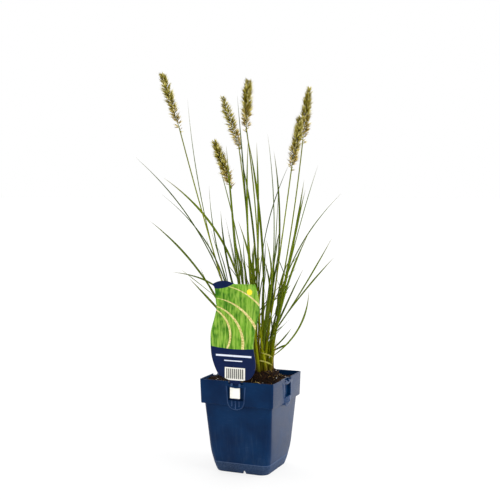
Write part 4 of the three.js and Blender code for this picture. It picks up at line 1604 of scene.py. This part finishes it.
def foot_notch():
    half = NOTCH_WIDTH / 2
    outline = [(NOTCH_PLACE - half, -1), (NOTCH_PLACE + half, -1),
               (NOTCH_PLACE + half * 0.3, FLOOR_UNDERSIDE), (NOTCH_PLACE - half * 0.3, FLOOR_UNDERSIDE)]
    return front_plate("notch", outline, 6 - FOOT_WIDTH / 2, FOOT_WIDTH / 2)


# %% [markdown]
# ## Joining and cutting
# The pot is one moulding, so its parts are joined, and its hollow, windows and drain holes are cut, by
# booleans. Faces stitched by hand would be lighter, but a row of booleans reads like a work order, and
# what comes out is closed. The tools are used up, and the row is frozen into one mesh.


# %% Joining and cutting
def on_every_face(tool):
    """The tool and its copies, turned to the pot's other three faces."""
    tools = [tool]
    for side in (1, 2, 3):
        copy = placed(f"{tool.name}_{side}", tool.data.copy())
        copy.data.transform(Matrix.Rotation(side * math.pi / 2, 4, "Z"))
        tools.append(copy)
    return tools


def carved(body, steps, name):
    """The body after a row of booleans. Each step is an operation and its tools, which are used up."""
    used = []
    for operation, tools in steps:
        for tool in tools:
            modifier = body.modifiers.new(operation, "BOOLEAN")
            modifier.operation = operation
            modifier.solver = "MANIFOLD"
            modifier.object = tool
            used.append(tool)
    result = frozen(body, name)
    for tool in used:
        bpy.data.objects.remove(tool)
    return result


# %% [markdown]
# ## Finish of the pot
# The plastic is a deep blue that is almost black in the shade, moulded with a faint grain. Handling has
# left hair scratches that run level, and a film of dried dust and water marks on the lower half. Below
# the step of the foot the mould was rougher, and the plastic there is a little paler and grainier; a pale
# line along the step is a painted highlight on its edge. A plain blue would look brand new, and a painted
# picture would show its seams at the corners, so the marks are patterns in place. The two finishes are
# one recipe; the second adds a painted highlight for the raised edges of the pocket.


# %% Pot finishes
FOOT_LINE = 0.016


def pot_finish(name, edge_highlight):
    paint = Finish(name)
    place = paint.place()
    _x, _y, height = paint.parts(place)
    grain = paint.noise(place, 900.0, 2.0)
    cloud = paint.noise(place, 22.0, 4.0)
    scratches = paint.noise(paint.stretch(place, (40, 40, 2600)), 1.0, 2.0)
    streaks = paint.noise(paint.stretch(place, (260, 260, 14)), 1.0, 3.0)
    navy = paint.mix(cloud.rise(0.3, 0.7), srgb(0, 33, 63), srgb(2, 43, 77))
    dust = streaks.rise(0.45, 0.8) * (1 - height.rise(0.03, 0.11)) * 0.12
    navy = paint.mix(dust, navy, srgb(78, 92, 112))
    foot = 1 - height.rise(FOOT_LINE - 0.0006, FOOT_LINE + 0.0006)
    navy = paint.mix(foot * (0.12 + grain.rise(0.4, 0.7) * 0.25), navy, srgb(92, 106, 128))
    # A pale line along the foot's step: a painted highlight on the step's edge.
    line = (1 - ((height - FOOT_LINE) * 1000).size().rise(0.2, 0.7)) * 0.35
    navy = paint.mix(line, navy, srgb(96, 114, 146))
    # Pale level scratches on both finishes; the second finish also lays a painted highlight over the raised
    # edges.
    scuffs = scratches.rise(0.64, 0.72) * cloud.rise(0.45, 0.7) * 0.25
    navy = paint.mix(scuffs + edge_highlight * cloud.rise(0.2, 0.6), navy, srgb(84, 104, 142))
    rough = 0.38 + cloud * 0.12 + dust * 0.8 + foot * 0.15
    return paint.done(
        Base_Color=navy, Roughness=rough, Specular_IOR_Level=0.08,
        Normal=paint.bump(grain * (1 + foot * 2) + scratches * 0.5 + cloud * 3, 0.00012))


# %% [markdown]
# ## The finished pot
# The order of the steps matters. The pouches and lines go on before the hollow is cut, which trims them
# inside. The wall behind each window goes in after the hollow, or it would be cut away, and the straps
# go on last, across the open windows. The faces keep their marks through all of it, so the marked ones
# can take the finish with the painted highlight.


# %% Pot
def make_pot():
    pouch_and_lines = [tool for part in [pocket_outline(), *pocket_pouch()] for tool in on_every_face(part)]
    drain = round_bar("drain", DRAIN_REACH, DRAIN_REACH, DRAIN_RADIUS, -1, 11)
    pad = round_bar("foot_pad", 0, 0, FOOT_PAD_RADIUS, 0, FLOOR_UNDERSIDE + 0.5)
    steps = [
        ("UNION", pouch_and_lines),
        ("DIFFERENCE", [hollow_skin(), underside_recess()]),
        ("UNION", [pad]),
        ("DIFFERENCE", on_every_face(drain) + on_every_face(foot_notch())),
        ("UNION", on_every_face(pocket_backing())),
        ("DIFFERENCE", on_every_face(pocket_window())),
        ("UNION", [tool for part in pocket_strap() for tool in on_every_face(part)]),
    ]
    pot = carved(outer_skin(), steps, "square_pot")
    marks = [face.material_index for face in pot.data.polygons]
    pot.data.materials.clear()
    pot.data.materials.append(pot_finish("navy plastic", 0.0))
    # The second finish is the same plastic with a painted highlight, for the raised edges of the pocket.
    pot.data.materials.append(pot_finish("rubbed navy plastic", 0.35))
    pot.data.polygons.foreach_set("material_index", marks)
    pot.data.shade_smooth()
    pot.data.set_sharp_from_angle(angle=math.radians(32))
    print(sum(marks), "rubbed faces")
    hand_over(pot, "pot_plastic", "pot")


make_pot()

# %% [markdown]
# ## The growing medium
# The pot is filled with bark compost. A grid with a Displace modifier would do for open ground, but this
# surface has to end at the pot's wall and behind its pockets. So it is a skin of rings that run from the
# wall in to the crown, where they climb the mound of old roots. Noise at three scales gives lumps, crumbs
# and grains, and the pot was filled a little higher along its left wall. The sides go down inside the pot
# in a few plain rings, because only the drain holes ever show them.


# %% Medium shape
MOUND_PROFILE = [(27, 1.0), (32, 0.85), (37, 0.45), (43, 0.0)]
MOUND_CURVE = 1.2
RISE_INWARDS = 2
BANK_PLACE = (-54, -24)
BANK_SPREAD = (15, 26)
BANK_RISE = 5
SURFACE_RINGS = 84
SURFACE_SPOKES = 220
SKIN_DEPTH = 8


def wall_place(start, direction, half, radius):
    """Where a level ray meets the inside of a square with round corners."""
    reach = min((half - math.copysign(1, d) * s) / abs(d)
                for s, d in zip(start[:2], direction[:2]) if d)
    place = start + direction * reach
    straight = half - radius
    if min(abs(place.x), abs(place.y)) <= straight:
        return place
    corner = Vector((math.copysign(straight, place.x), math.copysign(straight, place.y), start.z))
    back = start - corner
    along = -direction.dot(back)
    return start + direction * (along + math.sqrt(along ** 2 - back.length_squared + radius ** 2))


def medium_edge(angle, centre):
    """The edge of the surface in one direction: the pot's wall, or the back of a label pocket."""
    direction = level_way(angle)
    place = wall_place(centre, direction, collar_half(SOIL_LEVEL) - WALL - GAP, HOLLOW_RADIUS)
    pocket = wall_place(centre, direction, POCKET_BACK - WALL - GAP, HOLLOW_RADIUS)
    is_behind = min(abs(pocket.x), abs(pocket.y)) < BACKING_HALF_WIDTH + GAP
    return pocket if is_behind else place


def mound_rise(distance):
    """How much of the mound's height is left at a distance from the crown, 1 on top."""
    if distance <= MOUND_PROFILE[0][0]:
        return 1
    for (near, high), (far, low) in zip(MOUND_PROFILE, MOUND_PROFILE[1:]):
        if distance <= far:
            return high + (low - high) * (distance - near) / (far - near)
    return 0


def crumb_height(x, y):
    """The unevenness of the surface: noise from lumps down to grains."""
    lumps = noise.noise(Vector((x, y, 3)) * 0.09) * 1.6
    crumbs = noise.turbulence(Vector((x, y, 9)) * 0.28, 3, True) * 1.5
    grains = noise.noise(Vector((x, y, 20)) * 1.1) * 0.5
    return lumps + crumbs + grains - 1.2


def bank_height(x, y):
    """The rise of the filling along the left wall."""
    off = [(value - middle) / spread for value, middle, spread in zip((x, y), BANK_PLACE, BANK_SPREAD)]
    return BANK_RISE * math.exp(-off[0] ** 2 - off[1] ** 2)


def surface_height(place, centre, share):
    """The height of the surface at a place. The share is 1 at the wall and 0 at the crown."""
    mound = mound_rise((place - centre).length) ** MOUND_CURVE
    height = SOIL_LEVEL + RISE_INWARDS * (1 - share) + (MOUND_TOP - SOIL_LEVEL - RISE_INWARDS) * mound
    return height + (bank_height(place.x, place.y) + crumb_height(place.x, place.y))


def make_medium_skin():
    centre = clump_turn @ CROWN
    angles = [i * math.tau / SURFACE_SPOKES for i in range(SURFACE_SPOKES)]
    edges = [medium_edge(angle, centre) for angle in angles]
    rings = []
    for z in (FLOOR_TOP + GAP, 12, 26, 42, COLLAR_BASE + WALL + GAP):
        level = min(z, COLLAR_BASE)
        half = min(body_half(level), POCKET_BACK) - WALL - GAP
        radius = body_radius(level) - WALL - GAP
        ways = [Vector((edge.x, edge.y, 0)).normalized() for edge in edges]
        rings.append([wall_place(UP * z, way, half, radius) for way in ways])
    rings.append([Vector((edge.x, edge.y, SOIL_LEVEL - SKIN_DEPTH)) for edge in edges])
    first_loose = (len(rings) + 1) * SURFACE_SPOKES
    for step in range(SURFACE_RINGS):
        share = 1 - step / SURFACE_RINGS
        places = [centre.lerp(edge, share) for edge in edges]
        rings.append([
            Vector((place.x, place.y, surface_height(place, centre, share))) for place in places])
    skin = loft("medium_skin", rings)
    carry(skin, "loose", [float(i >= first_loose) for i in range(len(skin.data.vertices))])
    return skin


# %% [markdown]
# ## Crumbs, bark and straw
# Bits of bark, white grains of perlite and dry straw lie on the surface. Bits could be dropped by a
# physics run, but that takes long, and any change of the ground moves them all. So each is a small lumpy
# or curved shape, scattered over the skin by one recipe that is used three times with other inputs. A bit
# lies along the surface that it landed on, turned and tilted by chance: chips and grains are sunk to
# their middle, and straw lies on top.


# %% Scatter recipe
BIT_TILT = 0.5


def scatter_recipe():
    plan = Recipe(
        "scatter on medium", bits="set", last_bit="count", density="number", spacing="number",
        small="number", large="number", seed="count", finish="finish")
    ground = plan.given("shape")
    seed = plan.given("seed")
    values = {"Mesh": ground, "Selection": plan.attribute("loose"), "Distance Min": plan.given("spacing"),
              "Density Max": plan.given("density"), "Seed": seed}
    points = plan.node("GeometryNodeDistributePointsOnFaces", {"distribute_method": "POISSON"}, values)
    lying = points.other("Rotation")
    tilts = [plan.chance(-BIT_TILT, BIT_TILT, seed + i) for i in (1, 2)]
    turned = plan.turned(lying, *tilts, plan.chance(0.0, math.tau, seed + 3))
    size = plan.chance(plan.given("small"), plan.given("large"), seed + 4)
    kind = plan.choice(plan.given("last_bit"), seed + 5)
    points = plan.keep(points, "tint", plan.chance(0.0, 1.0, seed + 6))
    plan.finished(plan.strewn(points, "bits", kind, turned, size), [("finish", None)])
    return plan


# %% Loose bits
BARK_SIZES = [(2.6, 1.2, 0.7), (1.6, 1.3, 0.8), (3.6, 0.9, 0.6), (1.1, 1.0, 0.9)]
PERLITE_SIZES = [(1.1, 1.0, 0.8)] * 2
STRAW_SHAPES = [(9, 1.2, 0.4), (6, -0.8, 0.35), (14, 2.4, 0.4)]
STRAW_STEPS = 5


def lumpy_bit(name, holder, size, seed, rough):
    """A small stone or chip: a ball of few faces, squashed to size and pushed about."""
    shape = bmesh.new()
    bmesh.ops.create_icosphere(shape, subdivisions=1, radius=1)
    for vertex in shape.verts:
        push = 1 + rough * noise.noise(vertex.co * 1.7 + Vector((seed, 0, 0)))
        vertex.co = Vector([c * push * s for c, s in zip(vertex.co, size)]) * MM
    put_by(placed(name, built_mesh(name, shape)), holder)


def straw_bit(name, holder, length, bend, width):
    """A bent sliver of straw with four sides, thickest in the middle."""
    rings = []
    for i in range(STRAW_STEPS + 1):
        share = i / STRAW_STEPS - 0.5
        centre = Vector((length * share, bend * (0.25 - share ** 2) * 4, 0.5))
        half_width = width * (1 - 0.6 * abs(share) * 2)
        corners = ((-1, 0), (0, -0.5), (1, 0), (0, 0.5))
        rings.append([centre + Vector((0, y, z)) * half_width for y, z in corners])
    put_by(loft(name, rings), holder)


def bit_sets():
    bark, perlite, straw = (bpy.data.collections.new(kind) for kind in ("bark", "perlite", "straw"))
    for number, size in enumerate(BARK_SIZES):
        lumpy_bit(f"bark_{number}", bark, size, number * 7, 0.9)
    for number, size in enumerate(PERLITE_SIZES):
        lumpy_bit(f"perlite_{number}", perlite, size, 50 + number * 5, 0.6)
    for number, shape in enumerate(STRAW_SHAPES):
        straw_bit(f"straw_{number}", straw, *shape)
    return {"bark": bark, "perlite": perlite, "straw": straw}


# %% [markdown]
# ## Finishes of the medium
# Damp compost is nearly black with rusty and tan fibres. Bark bits run from dark brown to red-brown,
# perlite is chalk white with grey hollows, and straw is a dull yellow. A photographed texture would show
# its repeats on so small a surface, so noise at two or three scales mixes the browns. The bits share one
# recipe, in which each bit's own tint picks its place between a dark and a light colour.


# %% Medium finishes
def medium_finish():
    paint = Finish("bark compost")
    place = paint.place()
    lumps = paint.noise(place, 110.0, 4.0)
    grains = paint.noise(place, 900.0, 3.0)
    fibres = paint.noise(paint.stretch(place, (900, 160, 160)), 1.0, 3.0)
    brown = paint.mix(lumps.rise(0.3, 0.7), srgb(9, 6, 4), srgb(29, 20, 12))
    brown = paint.mix(grains.rise(0.5, 0.75) * 0.5, brown, srgb(56, 35, 19))
    brown = paint.mix(fibres.rise(0.62, 0.74) * 0.25, brown, srgb(112, 84, 46))
    return paint.done(
        Base_Color=brown, Roughness=0.85 + grains * 0.1, Specular_IOR_Level=0.1,
        Normal=paint.bump(lumps * 2 + grains, 0.0008))


def bit_finish(name, dark, light, speck):
    paint = Finish(name)
    place = paint.place()
    tint = paint.carried("tint")
    grains = paint.noise(place, 1300.0, 3.0)
    colour = paint.mix(tint, dark, light)
    colour = paint.mix(grains.rise(0.48, 0.7) * 0.6, colour, speck)
    return paint.done(
        Base_Color=colour, Roughness=0.8 + grains * 0.15, Specular_IOR_Level=0.1,
        Normal=paint.bump(grains, 0.0003))


# %% [markdown]
# ## The finished medium
# Each kind of bit is scattered over a copy of the skin, which isn't kept, and becomes a piece of its own.
# One piece for all would be simpler, but a person who reuses the part may want it without its straw or
# perlite. Only the skin stands for the model's medium; the bits are extra.


# %% Medium
SCATTER_SEED = 100
SCATTER_SEED_STEP = 20


def make_medium():
    skin = make_medium_skin()
    skin.data.materials.append(medium_finish())
    sets = bit_sets()
    scatter = scatter_recipe()
    finishes = {
        "bark": bit_finish("bark chips", srgb(10, 7, 4), srgb(56, 34, 18), srgb(8, 5, 3)),
        "perlite": bit_finish("perlite", srgb(206, 204, 194), srgb(236, 234, 226), srgb(150, 146, 136)),
        "straw": bit_finish("straw", srgb(146, 118, 62), srgb(196, 170, 104), srgb(104, 80, 40)),
    }
    plans = {
        "bark": {"last_bit": 3, "density": 240000.0, "spacing": 0.0016, "small": 0.5, "large": 1.15},
        "perlite": {"last_bit": 1, "density": 3200.0, "spacing": 0.006, "small": 0.5, "large": 1.1},
        "straw": {"last_bit": 2, "density": 10000.0, "spacing": 0.004, "small": 0.5, "large": 1.1},
    }
    for number, (kind, sizes) in enumerate(plans.items()):
        ground = placed(kind, skin.data.copy())
        ground.data.materials.clear()
        bits = scatter.grow(
            ground, f"medium_{kind}", bits=sets[kind], seed=SCATTER_SEED + SCATTER_SEED_STEP * number,
            finish=finishes[kind], **sizes)
        hand_over(bits, "soil")
    skin.name = "potting_medium"
    skin.data.shade_smooth()
    hand_over(skin, "soil", "soil")
    for holder in sets.values():
        put_away(holder)


make_medium()

# %% [markdown]
# ## The studio
# The object stands on a wide white floor in a white studio. Lamps with edges would each leave a patch of
# light on the floor, so the room itself gives light. As round a real table, the walls behind the object
# are bright and the viewer's side of the room is dim: the pot's right face, seen at a slant, mirrors the
# bright wall as a pale sheen, while its front mirrors the dim side and stays deep blue. Two broad suns add
# to this, a key from the right and a fill from near the viewer. A sun lights a floor evenly however far it
# runs, so no horizon shows.
#
# A floor as bright as this one would be far brighter than white in the picture, and would burn away the
# edges of thin blades in front of it. So the floor that lights the plant is white, while the floor that
# the camera sees is only just white: mostly an even glow, with a little of the real light and shadow. What
# gloss mirrors of the floor follows the room: dim on the viewer's side, bright behind the plant.


# %% Floor and lights
FLOOR_HALF = 60.0
BRIGHT_WALL = 2.3
DIM_WALL = 0.2
SEEN_GLOW = 0.76
SEEN_WHITE = 0.16
MIRRORED_NEAR = 0.36
MIRRORED_GLOW = 1.2
AWAY = (-math.sin(EYE_TURN), math.cos(EYE_TURN), 0)


def grey(level):
    return level, level, level


def make_floor():
    half = FLOOR_HALF
    corners = [(-half, -half, 0), (half, -half, 0), (half, half, 0), (-half, half, 0)]
    floor = new_object("floor", corners, [], [(0, 1, 2, 3)])
    paint = Finish("pale floor")
    place = paint.place()
    grain = paint.noise(place, 3.0)
    seen = paint.node("ShaderNodeLightPath", out="Is Camera Ray")
    mirrored = seen.other("Is Glossy Ray")
    behind = paint.reach(place, AWAY).rise(-0.3, 0.3)
    white = paint.mix(grain, grey(0.95), grey(0.97))
    white = paint.mix(mirrored * (1 - behind), white, grey(MIRRORED_NEAR))
    white = paint.mix(seen, white, grey(SEEN_WHITE))
    glow = paint.mix(mirrored * behind, grey(0), grey(MIRRORED_GLOW))
    glow = paint.mix(seen, glow, grey(SEEN_GLOW))
    floor.data.materials.append(paint.done(
        Base_Color=white, Roughness=0.9, Specular_IOR_Level=0.0, Emission_Color=glow,
        Emission_Strength=1.0))


def add_sun(name, turn, rise, softness, strength):
    """A broad sun. Turn 0 is the viewer's side, 90 is the right; rise is its height, all in degrees."""
    data = bpy.data.lights.new(name, "SUN")
    data.angle = math.radians(softness)
    data.energy = strength
    lamp = placed(name, data)
    around = EYE_TURN + math.radians(turn)
    up = math.radians(rise)
    towards = Vector((math.sin(around) * math.cos(up), -math.cos(around) * math.cos(up), math.sin(up)))
    lamp.location = towards * 3
    lamp.rotation_euler = (-towards).to_track_quat("-Z", "Y").to_euler()
    print(name, "sun", turn, "degrees round,", rise, "degrees up")


def light_the_studio():
    scene = bpy.context.scene
    scene.view_settings.view_transform = "Standard"
    world = bpy.data.worlds.new("studio")
    world.use_nodes = True
    dome = Graph(world.node_tree)
    dome.tree.nodes.clear()
    seen = dome.node("ShaderNodeLightPath", out="Is Camera Ray")
    direction = dome.node("ShaderNodeTexCoord", out="Generated")
    walls = dome.reach(direction, AWAY).rise(-0.5, 0.5) * (BRIGHT_WALL - DIM_WALL) + DIM_WALL
    strength = seen + (1 - seen) * walls
    light = dome.node("ShaderNodeBackground", None, {"Color": (1, 1, 1, 1), "Strength": strength})
    dome.node("ShaderNodeOutputWorld", None, {"Surface": light})
    scene.world = world
    add_sun("key", 62, 45, 45, 2.0)
    add_sun("fill", -8, 35, 50, 1.05)


make_floor()
light_the_studio()
